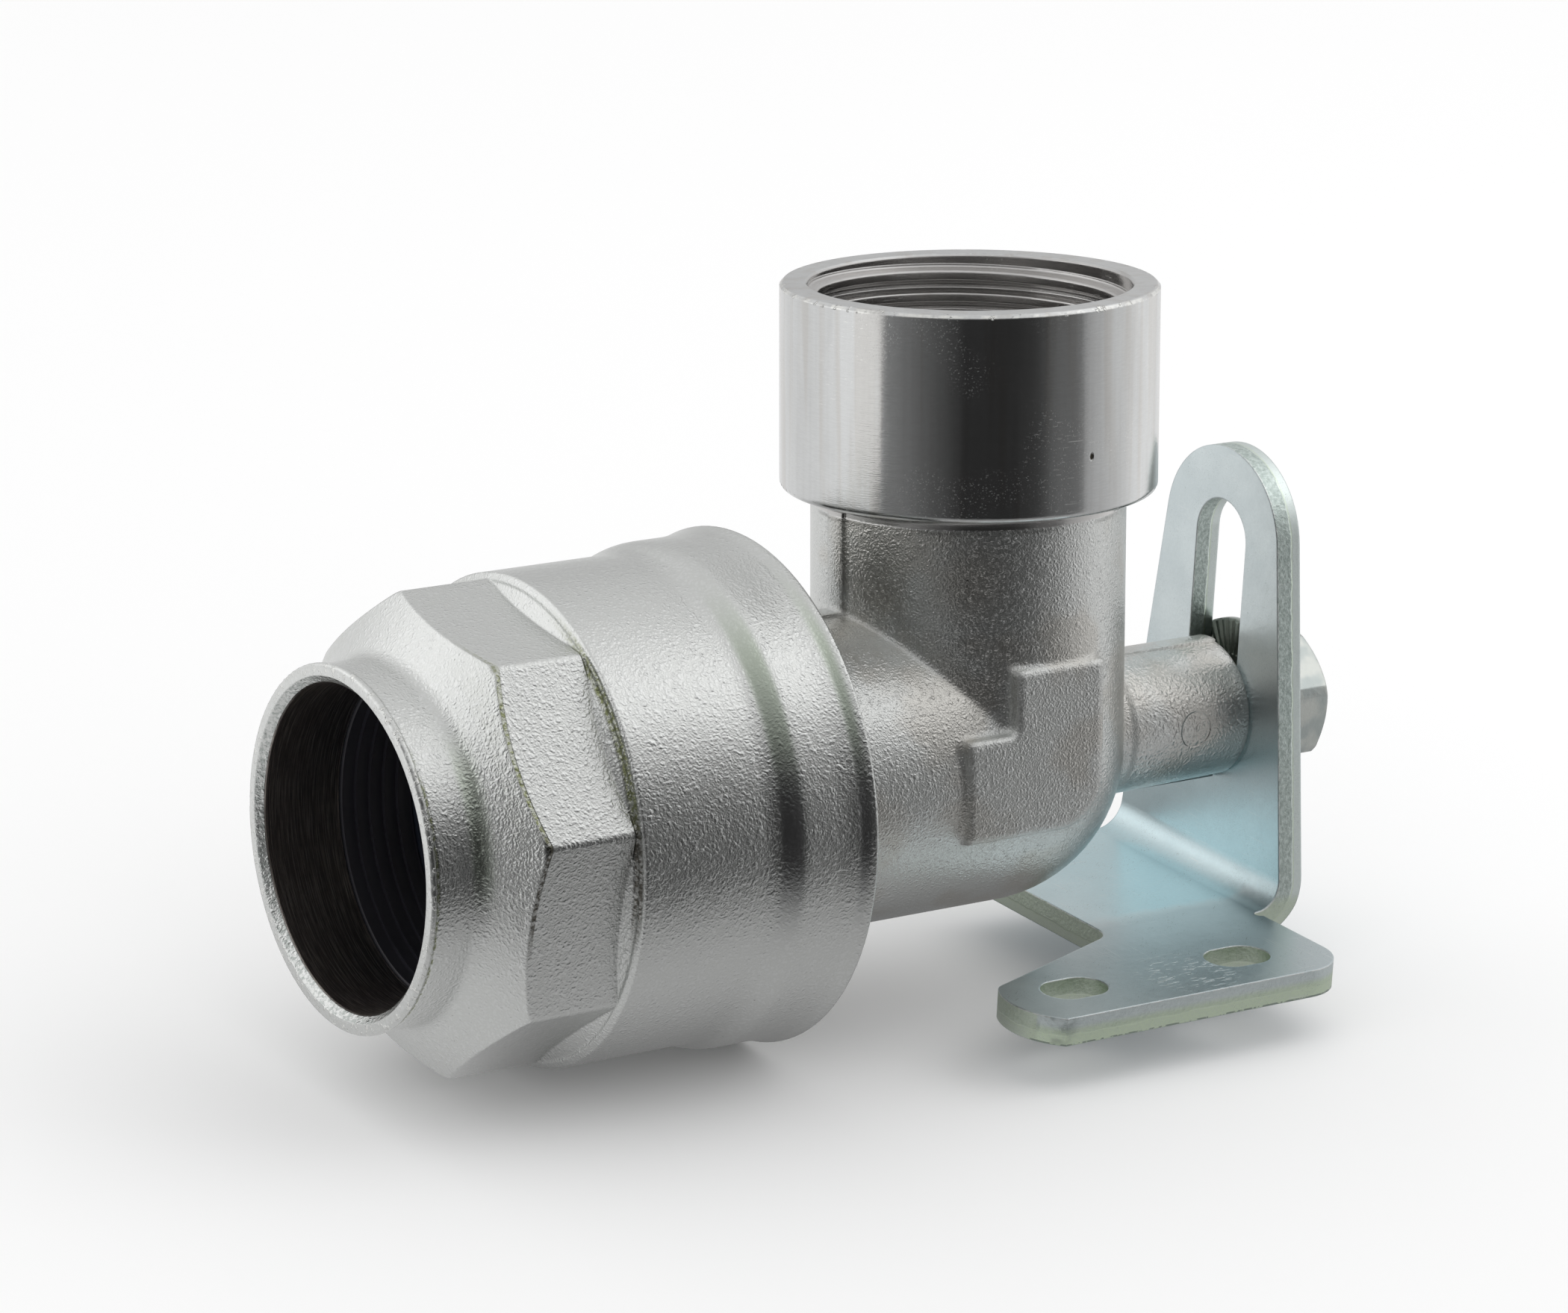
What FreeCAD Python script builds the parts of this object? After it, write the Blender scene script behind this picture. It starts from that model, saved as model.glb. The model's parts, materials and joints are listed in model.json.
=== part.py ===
"""Wall plate elbow for plastic pipe: a forged elbow, its clamping nut and seals, and an adjustable bracket.

Millimetres. The row stands on the bracket: its origin is midway between the two screw slots, on the face
that lies against the wall plate, and +Z points away from that plate. The fitting is drawn in a frame of its
own, with the origin where the pipe axis (X, the pipe leaves to -X) crosses the outlet axis (Z), and is then
leaned about the bolt and lifted into place.
"""
import FreeCAD, Part
import math
import os

from FreeCAD import Vector

# Forged elbow: the two arms, the ball that joins them and the turned socket
waterway_r = 13.0
arm_wall = 3.3
outlet_height = 49.0
thread_wall_r = 16.62
thread_depth = 18.5
socket_wall = 2.88
socket_floor = 2.8
rim_bevel = 0.35
rim_chamfer = 0.25
collar_round = 0.8

# Threaded spigot under the nut, and the seats that are turned in its mouth
pipe_d = 32.0
pipe_play = 0.25
spigot_wall = 2.15
spigot_length = 16.8
spigot_back = -33.2
spigot_back_slope = 45.0
spigot_chamfer = 1.0
stop_wall = 1.85

# Boss that takes the bracket's bolt
boss_length = 15.3
boss_wall = 3.35
boss_taper = 0.3
boss_blend = 1.6
boss_edge = 0.3
boss_countersink = 0.5
drill_point_angle = 118.0

# Raised blank pad on the front, and the trimmed flash along the parting plane
pad_half = 5.3
pad_top = 11.9
pad_left = -11.3
pad_proud = 0.55
pad_draft = 0.5
pad_depth = 5.3
pad_corner = 0.8
pad_edge = 0.35
flash_width = 2.6
flash_proud = 0.3

# Rings inside the nut
ring_play = 0.1
grip_length = 8.6
grip_wall = 2.35
grip_taper = 1.7
grip_gap = 3.2
grip_tooth_pitch = 1.6
grip_tooth_height = 0.5
grip_teeth = 5
pressure_collar = 6.65
pressure_lip = 2.2
seal_section = 3.0

# Clamping nut: bell mouth, eight wrench flats, skirt and rear flange
nut_bore_play = 0.43
nut_bore_depth = 9.2
nut_lead_in = 0.8
nut_thread_play = 0.05
nut_thread_chamfer = 0.9
nut_thread_run_in = 3.5
nut_wall = 3.45
thread_relief = 0.6
lip_wall = 1.99
lip_round = 0.35
lip_length = 0.5
neck_step = 0.3
neck_drop = 0.15
neck_length = 4.6
bell_angle = 57.0
bell_hollow_r = 2.0
bell_crown_r = 1.0
wrench_sides = 8
wrench_turn = 32.2
wrench_wall = 2.1
wrench_end_at = 19.55
corner_drop = 0.6
wrench_edge_round = 1.0
runout_length = 0.8
runout_drop = 0.95
skirt_step = 0.4
skirt_length = 14.1
flange_rise_length = 4.5
flange_rise = 0.95
flange_land = 3.3
flange_flare_length = 4.4
flange_flare = 0.62
flange_round = 0.35

# Bracket: one blank of sheet, bent once; along X it is measured from the face that the boss meets
sheet = 3.0
bend_r = 3.0
foot_clear = 1.7
foot_reach = 21.4
taper_half_at_bolt = 12.11
taper_per_mm = 0.128
top_arc_rise = 0.34
slot_play = 0.5
slot_travel = 18.7
screw_slot_width = 5.3
screw_slot_length = 7.4
screw_spacing = 20.8
screw_reach = 33.75
screw_side = -24.15
ear_shift = (-0.25, -0.85)
ear_end_r = 8.05
ear_flare_off = 6.6
ear_flare_angle = 20.9
ear_front_off = 5.95
ear_tip_round = 1.6
ear_right_round = 5.0
foot_inner_round = 2.6
foot_back_round = 1.5
relief_r = 0.6

# Serrated flange bolt
bolt_d = 8.0
bolt_length = 16.0
bolt_play = 0.05
bolt_point = 1.0
bolt_edge = 0.2
bolt_end_gap = 0.8
head_across_flats = 13.0
head_height = 8.0
head_turn = 13.0
head_sides = 6
head_corner_drop = 0.3
head_crown_edge = 0.2
head_crown_angle = 30.0
bolt_flange_edge = 1.5
bolt_flange_rim = 1.3
bolt_flange_slope = 25.0
serration_count = 48
serration_share = 0.9
serration_depth = 0.35
serration_land = 1.2

# How the fitting stands in its bracket
lean = 5.0

# Sizes that follow
arm_r = waterway_r + arm_wall
collar_r = thread_wall_r + socket_wall
collar_bottom = outlet_height - thread_depth - socket_floor
pipe_bore_r = pipe_d / 2 + pipe_play
seal_seat_r = pipe_bore_r + seal_section
spigot_r = seal_seat_r + spigot_wall
spigot_mouth = spigot_back - spigot_length
back_slope = math.tan(math.radians(spigot_back_slope))
pipe_stop = spigot_back - (pipe_bore_r + stop_wall - arm_r) / back_slope
boss_end = arm_r + boss_length
boss_end_r = bolt_d / 2 + boss_wall
boss_root_r = boss_end_r + boss_taper
pad_face = arm_r + pad_proud
grip_nose_r = pipe_bore_r + grip_wall
grip_tail_r = grip_nose_r + grip_taper
grip_slope = grip_taper / grip_length
nut_mouth = spigot_mouth - pressure_collar - 2 * ring_play - grip_length - nut_bore_depth
nut_bore_r = pipe_d / 2 + nut_bore_play
nut_thread_r = spigot_r + nut_thread_play
nut_thread_start = spigot_mouth - nut_thread_run_in
lip_r = nut_bore_r + lip_wall
skirt_r = nut_thread_r + nut_wall
wrench_end = nut_mouth + wrench_end_at
wrench_flat_r = grip_tail_r + ring_play + wrench_wall
wrench_corner_r = skirt_r - corner_drop
skirt_end = wrench_end + skirt_length
flange_foot_r = skirt_r + flange_rise
flange_flare_start = skirt_end + flange_rise_length + flange_land
flange_r = flange_foot_r + flange_flare
nut_end = flange_flare_start + flange_flare_length
axis_to_foot = arm_r + flash_proud + foot_clear
foot_under = axis_to_foot + sheet
slot_r = bolt_d / 2 + slot_play / 2
top_arc_height = slot_travel + top_arc_rise
screw_mid = screw_spacing / 2 - screw_reach
bolt_hole_depth = bolt_length - sheet + bolt_end_gap
head_corner_r = head_across_flats / 2 / math.cos(math.pi / 6)
bolt_flange_r = head_corner_r + bolt_flange_edge
serration_inner_r = bolt_d / 2 + serration_land
X = Vector(1, 0, 0)
Y = Vector(0, 1, 0)
Z = Vector(0, 0, 1)
O = Vector(0, 0, 0)


def sine(angle):
    return math.sin(math.radians(angle))


def cosine(angle):
    return math.cos(math.radians(angle))


def arc(centre, radius, start, end):
    """A round stretch of an outline: its middle point and its end point, angles in degrees."""
    middle = (start + end) / 2
    return tuple((centre[0] + radius * cosine(a), centre[1] + radius * sine(a)) for a in (middle, end))


def outline(place, *steps):
    """Close an outline of points and arcs; place turns its two coordinates into a point in space."""
    edges = []
    first = steps[0]
    here = first
    for step in steps[1:] + (first,):
        if isinstance(step[0], tuple):
            middle, end = step
            edges.append(Part.Arc(place(here), place(middle), place(end)).toShape())
        else:
            end = step
            if place(here).distanceToPoint(place(end)) > 1e-6:
                edges.append(Part.makeLine(place(here), place(end)))
        here = end
    return Part.Face(Part.Wire(edges))


def turned_x(*steps):
    """A solid turned about the pipe axis; each point is (distance along X, radius)."""
    return outline(lambda p: Vector(p[0], 0, p[1]), *steps).revolve(O, X, 360)


def turned_z(*steps):
    """A solid turned about the outlet axis; each point is (radius, height)."""
    return outline(lambda p: Vector(p[0], 0, p[1]), *steps).revolve(O, Z, 360)


def rod_x(radius, start, end):
    return Part.makeCylinder(radius, end - start, Vector(start, 0, 0), X)


def rod_z(radius, start, end):
    return Part.makeCylinder(radius, end - start, Vector(0, 0, start), Z)


def prism_x(corner_r, sides, turn, start, end):
    """A prism along the pipe axis with one flat facing turn degrees above the front."""
    points = []
    for i in range(sides):
        angle = turn + (i + 0.5) * 360 / sides
        points.append(Vector(start, -corner_r * cosine(angle), corner_r * sine(angle)))
    return Part.Face(Part.makePolygon(points + points[:1])).extrude(X * (end - start))


def fused(first, *others):
    return first.fuse(list(others)).removeSplitter()


# The forged elbow

def socket_blank():
    """The round socket that is turned for the outlet thread, down to the arm below it."""
    return turned_z(
        (0, collar_bottom - collar_round),
        (arm_r, collar_bottom - collar_round),
        arc((arm_r + collar_round, collar_bottom - collar_round), collar_round, 180, 90),
        (collar_r - collar_round, collar_bottom),
        arc((collar_r - collar_round, collar_bottom + collar_round), collar_round, -90, 0),
        (collar_r, outlet_height - rim_bevel),
        (collar_r - rim_bevel, outlet_height),
        (0, outlet_height))


def spigot_blank():
    """The thick end that carries the nut's thread, with a cone back down to the arm."""
    back_run = (spigot_r - arm_r) / back_slope
    return turned_x(
        (spigot_mouth, 0),
        (spigot_mouth, spigot_r - spigot_chamfer),
        (spigot_mouth + spigot_chamfer, spigot_r),
        (spigot_back - back_run, spigot_r),
        (spigot_back, arm_r),
        (spigot_back, 0))


def boss_blank():
    """The tapered boss, flaring into the ball at its root."""
    root_r = boss_root_r + boss_blend
    root = math.sqrt(arm_r ** 2 - root_r ** 2)
    return turned_x(
        (0, 0),
        (root - boss_blend, root_r),
        (root, root_r),
        arc((root + boss_blend, root_r), boss_blend, 180, 270),
        (boss_end - boss_edge, boss_end_r),
        (boss_end, boss_end_r - boss_edge),
        (boss_end, 0))


def pad():
    """The raised L-shaped pad, round at the corner where the arms meet, with drafted walls."""
    def face_at(depth, grow):
        half = pad_half + grow
        left = pad_left - grow
        top = pad_top + grow
        corner = pad_corner
        return outline(
            lambda p: Vector(p[0], depth, p[1]),
            (left, -half), (0, -half), arc((0, 0), half, -90, 0),
            (half, top), (-half, top), (-half, half + corner),
            arc((-half - corner, half + corner), corner, 0, -90), (left, half))
    front = face_at(-pad_face, 0)
    back = face_at(pad_depth - pad_face, pad_draft)
    raised = Part.makeLoft([front.OuterWire, back.OuterWire], True)
    return raised.makeFillet(pad_edge, [e for e in raised.Edges if e.BoundBox.YMax < pad_edge - pad_face])


def flash():
    """The trimmed flash that stands a little proud all along the parting plane."""
    raised = arm_r + flash_proud
    boss_raised = boss_end_r + flash_proud
    half = flash_width / 2
    ring = fused(
        rod_z(raised, 0, collar_bottom - collar_round),
        Part.makeSphere(raised),
        rod_x(raised, spigot_back, 0),
        rod_x(boss_raised, 0, boss_end - boss_edge))
    slice_length = boss_end - spigot_back
    plate = Part.makeBox(slice_length, flash_width, raised + collar_bottom, Vector(spigot_back, -half, -raised))
    return ring.common(plate)


def waterway():
    """What is bored out of the forging: both bores with their seats and thread wall, and the bolt's hole."""
    thread_floor = outlet_height - thread_depth
    hole_r = bolt_d / 2
    drill_run = hole_r / math.tan(math.radians(drill_point_angle / 2))
    hole_floor = boss_end - bolt_hole_depth
    seal_floor = spigot_mouth + pressure_lip + seal_section
    bores = fused(
        rod_z(waterway_r, 0, outlet_height),
        Part.makeSphere(waterway_r),
        rod_x(waterway_r, pipe_stop, 0),
        turned_z((0, thread_floor), (thread_wall_r, thread_floor), (thread_wall_r, outlet_height - rim_chamfer),
                 (thread_wall_r + rim_chamfer, outlet_height), (0, outlet_height)),
        turned_x((spigot_mouth, 0), (spigot_mouth, seal_seat_r), (seal_floor, seal_seat_r), (seal_floor, pipe_bore_r),
                 (pipe_stop, pipe_bore_r), (pipe_stop, 0)))
    bolt_hole = turned_x(
        (hole_floor - drill_run, 0), (hole_floor, hole_r), (boss_end - boss_countersink, hole_r),
        (boss_end, hole_r + boss_countersink), (boss_end, 0))
    return [bores, bolt_hole]


def elbow_body():
    blank = fused(
        rod_z(arm_r, 0, collar_bottom), Part.makeSphere(arm_r), rod_x(arm_r, spigot_back, 0),
        socket_blank(), spigot_blank(), boss_blank(), pad(), flash())
    return blank.cut(waterway())


# The clamping nut

def bell_edge():
    """The bell mouth's outline from the lip to the wrench corners: a neck, a hollow, a straight cone and a crown."""
    neck_r = lip_r - neck_drop
    rounds = (bell_hollow_r + bell_crown_r) * (1 - cosine(bell_angle))
    straight = (wrench_corner_r - neck_r - rounds) / sine(bell_angle)
    lip_end = nut_mouth + lip_length
    hollow_start = nut_mouth + neck_length
    hollow_end = hollow_start + bell_hollow_r * sine(bell_angle)
    crown_start = hollow_end + straight * cosine(bell_angle)
    crown_end = crown_start + bell_crown_r * sine(bell_angle)
    crown_start_r = wrench_corner_r - bell_crown_r * (1 - cosine(bell_angle))
    return (
        (nut_mouth, lip_r - lip_round),
        arc((nut_mouth + lip_round, lip_r - lip_round), lip_round, 180, 90),
        (lip_end, lip_r),
        (lip_end + neck_step, neck_r),
        (hollow_start, neck_r),
        arc((hollow_start, neck_r + bell_hollow_r), bell_hollow_r, -90, -90 + bell_angle),
        (crown_start, crown_start_r),
        arc((crown_end, wrench_corner_r - bell_crown_r), bell_crown_r, 90 + bell_angle, 90))


def nut_outside():
    """The nut's whole round form, before the flats are cut into it."""
    s_angle = 2 * math.degrees(math.atan2(flange_rise, flange_rise_length))
    s_r = flange_rise_length / 2 / sine(s_angle)
    s_end = skirt_end + flange_rise_length
    flare_run = flange_flare_length - flange_round
    flare_r = (flare_run ** 2 + flange_flare ** 2) / (2 * flange_flare)
    flare_sweep = math.degrees(math.asin(flare_run / flare_r))
    return turned_x(
        (nut_mouth, 0),
        *bell_edge(),
        (wrench_end, wrench_corner_r),
        (wrench_end + skirt_step, skirt_r),
        (skirt_end, skirt_r),
        arc((skirt_end, skirt_r + s_r), s_r, -90, -90 + s_angle),
        arc((s_end, flange_foot_r - s_r), s_r, 90 + s_angle, 90),
        (flange_flare_start, flange_foot_r),
        arc((flange_flare_start, flange_foot_r + flare_r), flare_r, -90, -90 + flare_sweep),
        arc((nut_end - flange_round, flange_r - flange_round), flange_round, 90, 0),
        (nut_end, 0))


def wrench_flats_waste():
    """What the flats remove: the round bar outside the octagon, back to a cone at their inner end."""
    octagon_r = wrench_flat_r / cosine(180 / wrench_sides)
    runout_start = wrench_end - runout_length
    bar = rod_x(flange_r, nut_mouth, wrench_end)
    octagon = prism_x(octagon_r, wrench_sides, wrench_turn, nut_mouth, wrench_end)
    corners = [e for e in octagon.Edges if e.BoundBox.XLength > runout_length]
    octagon = octagon.makeFillet(wrench_edge_round, corners)
    cone = turned_x(
        (nut_mouth, 0), (nut_mouth, lip_r), (runout_start, wrench_flat_r), (wrench_end, skirt_r - runout_drop),
        (wrench_end, 0))
    return bar.cut(fused(octagon, cone))


def nut_inside():
    """The pipe's way in, the cone that closes the grip ring, and the thread's wall."""
    cone_start = nut_mouth + nut_bore_depth
    cone_end = cone_start + grip_length
    return turned_x(
        (nut_mouth, 0),
        (nut_mouth, nut_bore_r + nut_lead_in),
        (nut_mouth + nut_lead_in, nut_bore_r),
        (cone_start, nut_bore_r),
        (cone_start, grip_nose_r + ring_play),
        (cone_end, grip_tail_r + ring_play),
        (nut_thread_start, grip_tail_r + ring_play),
        (nut_thread_start, nut_thread_r + thread_relief),
        (nut_thread_start + 2 * thread_relief, nut_thread_r),
        (nut_end - nut_thread_chamfer, nut_thread_r),
        (nut_end, nut_thread_r + nut_thread_chamfer),
        (nut_end, 0))


def clamp_nut():
    return nut_outside().cut(wrench_flats_waste()).cut(nut_inside())


# The rings that grip and seal the pipe

def grip_ring():
    """A split cone with saw teeth on the inside that bite the pipe as the nut closes it."""
    start = nut_mouth + nut_bore_depth + ring_play
    length = grip_length - 2 * ring_play
    end = start + length
    root_r = pipe_bore_r + grip_tooth_height
    teeth_start = start + (length - grip_teeth * grip_tooth_pitch) / 2
    teeth = []
    for i in reversed(range(grip_teeth)):
        tooth = teeth_start + i * grip_tooth_pitch
        teeth += [(tooth + grip_tooth_pitch, root_r), (tooth, pipe_bore_r)]
    ring = turned_x(
        (start, root_r), (start, grip_nose_r), (end, grip_nose_r + grip_slope * length), (end, root_r), *teeth)
    split = Part.makeBox(grip_length, grip_gap, 2 * grip_tail_r, Vector(start, -grip_gap / 2, 0))
    return ring.cut(split)


def pressure_ring():
    """The stiff ring between the grip ring and the seal: a collar before the spigot and a lip inside it."""
    collar_end = spigot_mouth - ring_play
    collar_start = collar_end - pressure_collar
    lip_end = collar_end + pressure_lip
    return turned_x(
        (collar_start, pipe_bore_r),
        (collar_start, grip_tail_r - ring_play),
        (collar_end, grip_tail_r - ring_play),
        (collar_end, seal_seat_r - ring_play),
        (lip_end, seal_seat_r - ring_play),
        (lip_end, pipe_bore_r))


def seal_ring():
    """The round rubber seal in its seat in the spigot's mouth."""
    section_r = seal_section / 2
    centre = spigot_mouth + pressure_lip + section_r
    return Part.makeTorus(pipe_bore_r + section_r, section_r - ring_play / 2, Vector(centre, 0, 0), X)


# The bracket, drawn with the bolt axis as X and the face that the boss meets at X = 0

def half_width(height):
    return taper_half_at_bolt - taper_per_mm * height


def front_outline():
    """The upright seen along the bolt: tapered sides under a round top, straight below the bend."""
    side_angle = math.degrees(math.atan(taper_per_mm))
    foot_half = half_width(-axis_to_foot)
    top_r = half_width(top_arc_height) * cosine(side_angle)
    touch = (top_r * cosine(side_angle), top_arc_height + top_r * sine(side_angle))
    below = -foot_under - sheet
    depth = bend_r + 2 * sheet
    face = outline(
        lambda p: Vector(-depth, p[0], p[1]),
        (-foot_half, below), (foot_half, below), (foot_half, -axis_to_foot), touch,
        ((0, top_arc_height + top_r), (-touch[0], touch[1])), (-foot_half, -axis_to_foot))
    return face.extrude(X * 2 * depth)


def bent_strip():
    """The sheet's section round its bend, wide enough to be trimmed by the front outline."""
    wide = 2 * half_width(-foot_under)
    top = top_arc_height + wide
    centre = (-bend_r, bend_r - axis_to_foot)
    face = outline(
        lambda p: Vector(p[0], -wide, p[1]),
        (sheet, top), (0, top), (0, centre[1]), arc(centre, bend_r, 0, -90), (-bend_r - sheet, -axis_to_foot),
        (-bend_r - sheet, -foot_under), (-bend_r, -foot_under), arc(centre, bend_r + sheet, -90, 0))
    return face.extrude(Y * 2 * wide)


def rounded_upright(plate, corner, radius):
    """Round the upright edge of a flat plate that stands nearest to a corner given in plan."""
    def distance(edge):
        ends = [v.Point for v in edge.Vertexes]
        if len(ends) != 2 or abs(ends[0].z - ends[1].z) < sheet / 2:
            return math.inf
        return math.hypot(ends[0].x - corner[0], ends[0].y - corner[1])
    return plate.makeFillet(radius, [min(plate.Edges, key=distance)])


def foot_plate():
    """The foot with its ear: a straight strip that flares out to a round end beside the two screw slots."""
    back = half_width(-axis_to_foot)
    left = -foot_reach
    right = -bend_r
    slope = Vector(cosine(ear_flare_angle), sine(ear_flare_angle), 0)
    across = Vector(-slope.y, slope.x, 0)
    ear = Vector(ear_shift[0] - screw_reach, ear_shift[1] + screw_side, 0)
    front = ear.y - ear_front_off
    tip = ear + across * ear_flare_off - slope * math.sqrt(ear_end_r ** 2 - ear_flare_off ** 2)
    inner_corner = (left, tip.y + (left - tip.x) * slope.y / slope.x)
    tip_angle = math.degrees(math.atan2(tip.y - ear.y, tip.x - ear.x))
    front_angle = 180 + math.degrees(math.asin(ear_front_off / ear_end_r))
    plan = outline(
        lambda p: Vector(p[0], p[1], -foot_under),
        (right, back),
        (left, back),
        inner_corner,
        (tip.x, tip.y),
        arc(ear, ear_end_r, tip_angle, front_angle),
        (right - ear_right_round, front),
        arc((right - ear_right_round, front + ear_right_round), ear_right_round, -90, 0))
    plate = plan.extrude(Z * sheet)
    plate = rounded_upright(plate, inner_corner, foot_inner_round)
    plate = rounded_upright(plate, tip, ear_tip_round)
    return rounded_upright(plate, (left, back), foot_back_round)


def stadium(centre_x, centre_y, length, width, start, depth):
    """A slot with round ends, length along X, cut down from start."""
    run = (length - width) / 2
    face = outline(
        lambda p: Vector(centre_x + p[0], centre_y + p[1], start),
        (-run, -width / 2), (run, -width / 2), arc((run, 0), width / 2, -90, 90), (-run, width / 2),
        arc((-run, 0), width / 2, 90, 270))
    return face.extrude(Z * -depth)


def wall_bracket():
    strip = bent_strip().common(front_outline())
    cuts = [outline(
        lambda p: Vector(-sheet, p[0], p[1]),
        (slot_r, 0), (slot_r, slot_travel), arc((0, slot_travel), slot_r, 0, 180), (-slot_r, 0),
        arc((0, 0), slot_r, 180, 360)).extrude(X * 3 * sheet)]
    for i in range(2):
        cuts.append(stadium(i * screw_spacing - screw_reach, screw_side, screw_slot_length, screw_slot_width,
                            sheet - axis_to_foot, 3 * sheet))
    relief_side = -half_width(-axis_to_foot) - relief_r
    cuts.append(Part.makeCylinder(relief_r, 3 * sheet, Vector(-bend_r, relief_side, -foot_under - sheet), Z))
    return fused(strip, foot_plate()).cut(cuts)


# The bolt, drawn like the bracket

def ratchet_notch():
    """One notch between two ratchet teeth: steep on one side, shallower and narrower near the shank."""
    outer_r = bolt_flange_r + bolt_edge
    below = sheet - serration_depth / 2
    sections = []
    for radius in (outer_r, serration_inner_r):
        half = math.pi * radius / serration_count * serration_share
        deep = sheet + serration_depth * radius / outer_r
        sections.append(Part.makePolygon([
            Vector(below, radius, -half), Vector(deep, radius, half / 2), Vector(below, radius, half),
            Vector(below, radius, -half)]))
    return Part.makeLoft(sections, True)


def flange_bolt():
    """A flange bolt, its flange cut with ratchet teeth where it bears on the bracket."""
    seat = sheet
    tip = seat - bolt_length
    rim_top = seat + bolt_flange_rim
    head_top = seat + head_height
    shank_r = bolt_d / 2 - bolt_play
    rim_r = bolt_flange_r
    corner_r = head_corner_r
    crown_r = head_across_flats / 2 - head_crown_edge
    clear_r = corner_r - head_corner_drop
    flange_top = rim_top + (rim_r - corner_r) * math.tan(math.radians(bolt_flange_slope))
    crown_start = head_top - (clear_r - crown_r) * math.tan(math.radians(head_crown_angle))
    shank = turned_x(
        (tip, 0), (tip, shank_r - bolt_point), (tip + bolt_point, shank_r), (rim_top, shank_r), (rim_top, 0))
    crown = turned_x((seat, 0), (seat, clear_r), (crown_start, clear_r), (head_top, crown_r), (head_top, 0))
    head = prism_x(corner_r, head_sides, head_turn + 180 / head_sides, rim_top, head_top).common(crown)
    flange = turned_x(
        (seat, 0), (seat, rim_r - bolt_edge), (seat + bolt_edge, rim_r), (rim_top - bolt_edge, rim_r),
        (rim_top, rim_r - bolt_edge), (flange_top, corner_r), (flange_top, 0))
    notches = []
    for i in range(serration_count):
        notch = ratchet_notch()
        notch.rotate(O, X, 360 * i / serration_count)
        notches.append(notch)
    return fused(shank, head, flange.cut(notches))


def in_row(shape, start, leaned):
    """Move a shape from the bracket's frame, or the fitting's that starts at start, into the row's frame."""
    placed = shape.copy()
    if leaned:
        placed.rotate(O, X, -lean)
    placed.translate(Vector(start - screw_mid, -screw_side, foot_under))
    return placed


def main():
    os.makedirs("parts", exist_ok=True)
    fitting = {
        "elbow_body": elbow_body(), "clamp_nut": clamp_nut(), "grip_ring": grip_ring(),
        "pressure_ring": pressure_ring(), "seal_ring": seal_ring()}
    solids = {name: in_row(shape, -boss_end, True) for name, shape in fitting.items()}
    solids["flange_bolt"] = in_row(flange_bolt(), 0, True)
    solids["wall_bracket"] = in_row(wall_bracket(), 0, False)
    for name, solid in solids.items():
        print(name, "solids", len(solid.Solids), "volume", round(solid.Volume, 1), "valid", solid.isValid())
        solid.exportStep("parts/" + name + ".step")


main()
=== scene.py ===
"""The looks of a wall plate elbow: blasted nickel forgings, a turned socket, a zinc-plated bolt and bracket.

Lengths are in metres. Names ending in _MM are in millimetres, in the fitting's own frame where no other is
named: its origin is where the pipe axis X and the outlet axis Z cross, and it stands LEAN_DEG out of plumb
about X.
"""

import json
import math
from types import SimpleNamespace

import bmesh
import bpy
import numpy as np
from mathutils import Matrix, Vector

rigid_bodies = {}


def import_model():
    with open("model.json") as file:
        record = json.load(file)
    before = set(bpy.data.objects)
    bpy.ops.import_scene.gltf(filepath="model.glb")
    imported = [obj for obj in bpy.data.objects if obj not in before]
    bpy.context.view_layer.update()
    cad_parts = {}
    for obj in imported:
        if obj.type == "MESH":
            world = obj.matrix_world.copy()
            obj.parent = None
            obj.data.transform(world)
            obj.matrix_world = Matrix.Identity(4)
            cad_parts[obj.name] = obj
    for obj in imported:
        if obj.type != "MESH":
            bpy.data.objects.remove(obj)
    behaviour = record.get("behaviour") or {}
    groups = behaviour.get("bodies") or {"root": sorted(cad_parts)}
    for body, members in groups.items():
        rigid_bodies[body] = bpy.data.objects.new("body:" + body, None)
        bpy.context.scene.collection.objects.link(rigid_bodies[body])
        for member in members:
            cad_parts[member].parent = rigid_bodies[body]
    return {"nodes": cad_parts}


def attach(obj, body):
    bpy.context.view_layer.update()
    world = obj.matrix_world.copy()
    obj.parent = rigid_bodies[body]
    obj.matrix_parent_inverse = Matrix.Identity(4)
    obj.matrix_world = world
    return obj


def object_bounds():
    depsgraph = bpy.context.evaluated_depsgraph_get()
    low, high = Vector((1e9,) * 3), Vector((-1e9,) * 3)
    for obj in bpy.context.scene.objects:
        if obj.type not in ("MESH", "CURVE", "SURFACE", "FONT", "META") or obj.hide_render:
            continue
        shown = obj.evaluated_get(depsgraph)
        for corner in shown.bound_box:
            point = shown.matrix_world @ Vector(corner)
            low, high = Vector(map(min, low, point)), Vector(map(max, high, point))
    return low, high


for leftover in list(bpy.data.objects):
    bpy.data.objects.remove(leftover)

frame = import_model()
cad_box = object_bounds()
nodes = frame["nodes"]

MM = 0.001

# where the fitting stands in the row frame
FITTING_AT = (-0.00825, 0.02415, 0.0213)
LEAN_DEG = -5.0
FLOOR_Z = cad_box[0].z - 0.00002

# the camera, solved from the photograph's outlines: its place, turn about Z, tilt from straight down, roll
CAMERA_AT = (-0.35245, -0.45158, 0.21841)
CAMERA_TURN_DEG = -33.9891
CAMERA_TILT_DEG = 72.2009
CAMERA_ROLL_DEG = 2.8747
LENS = 136.49
SENSOR_WIDTH = 36

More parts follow.
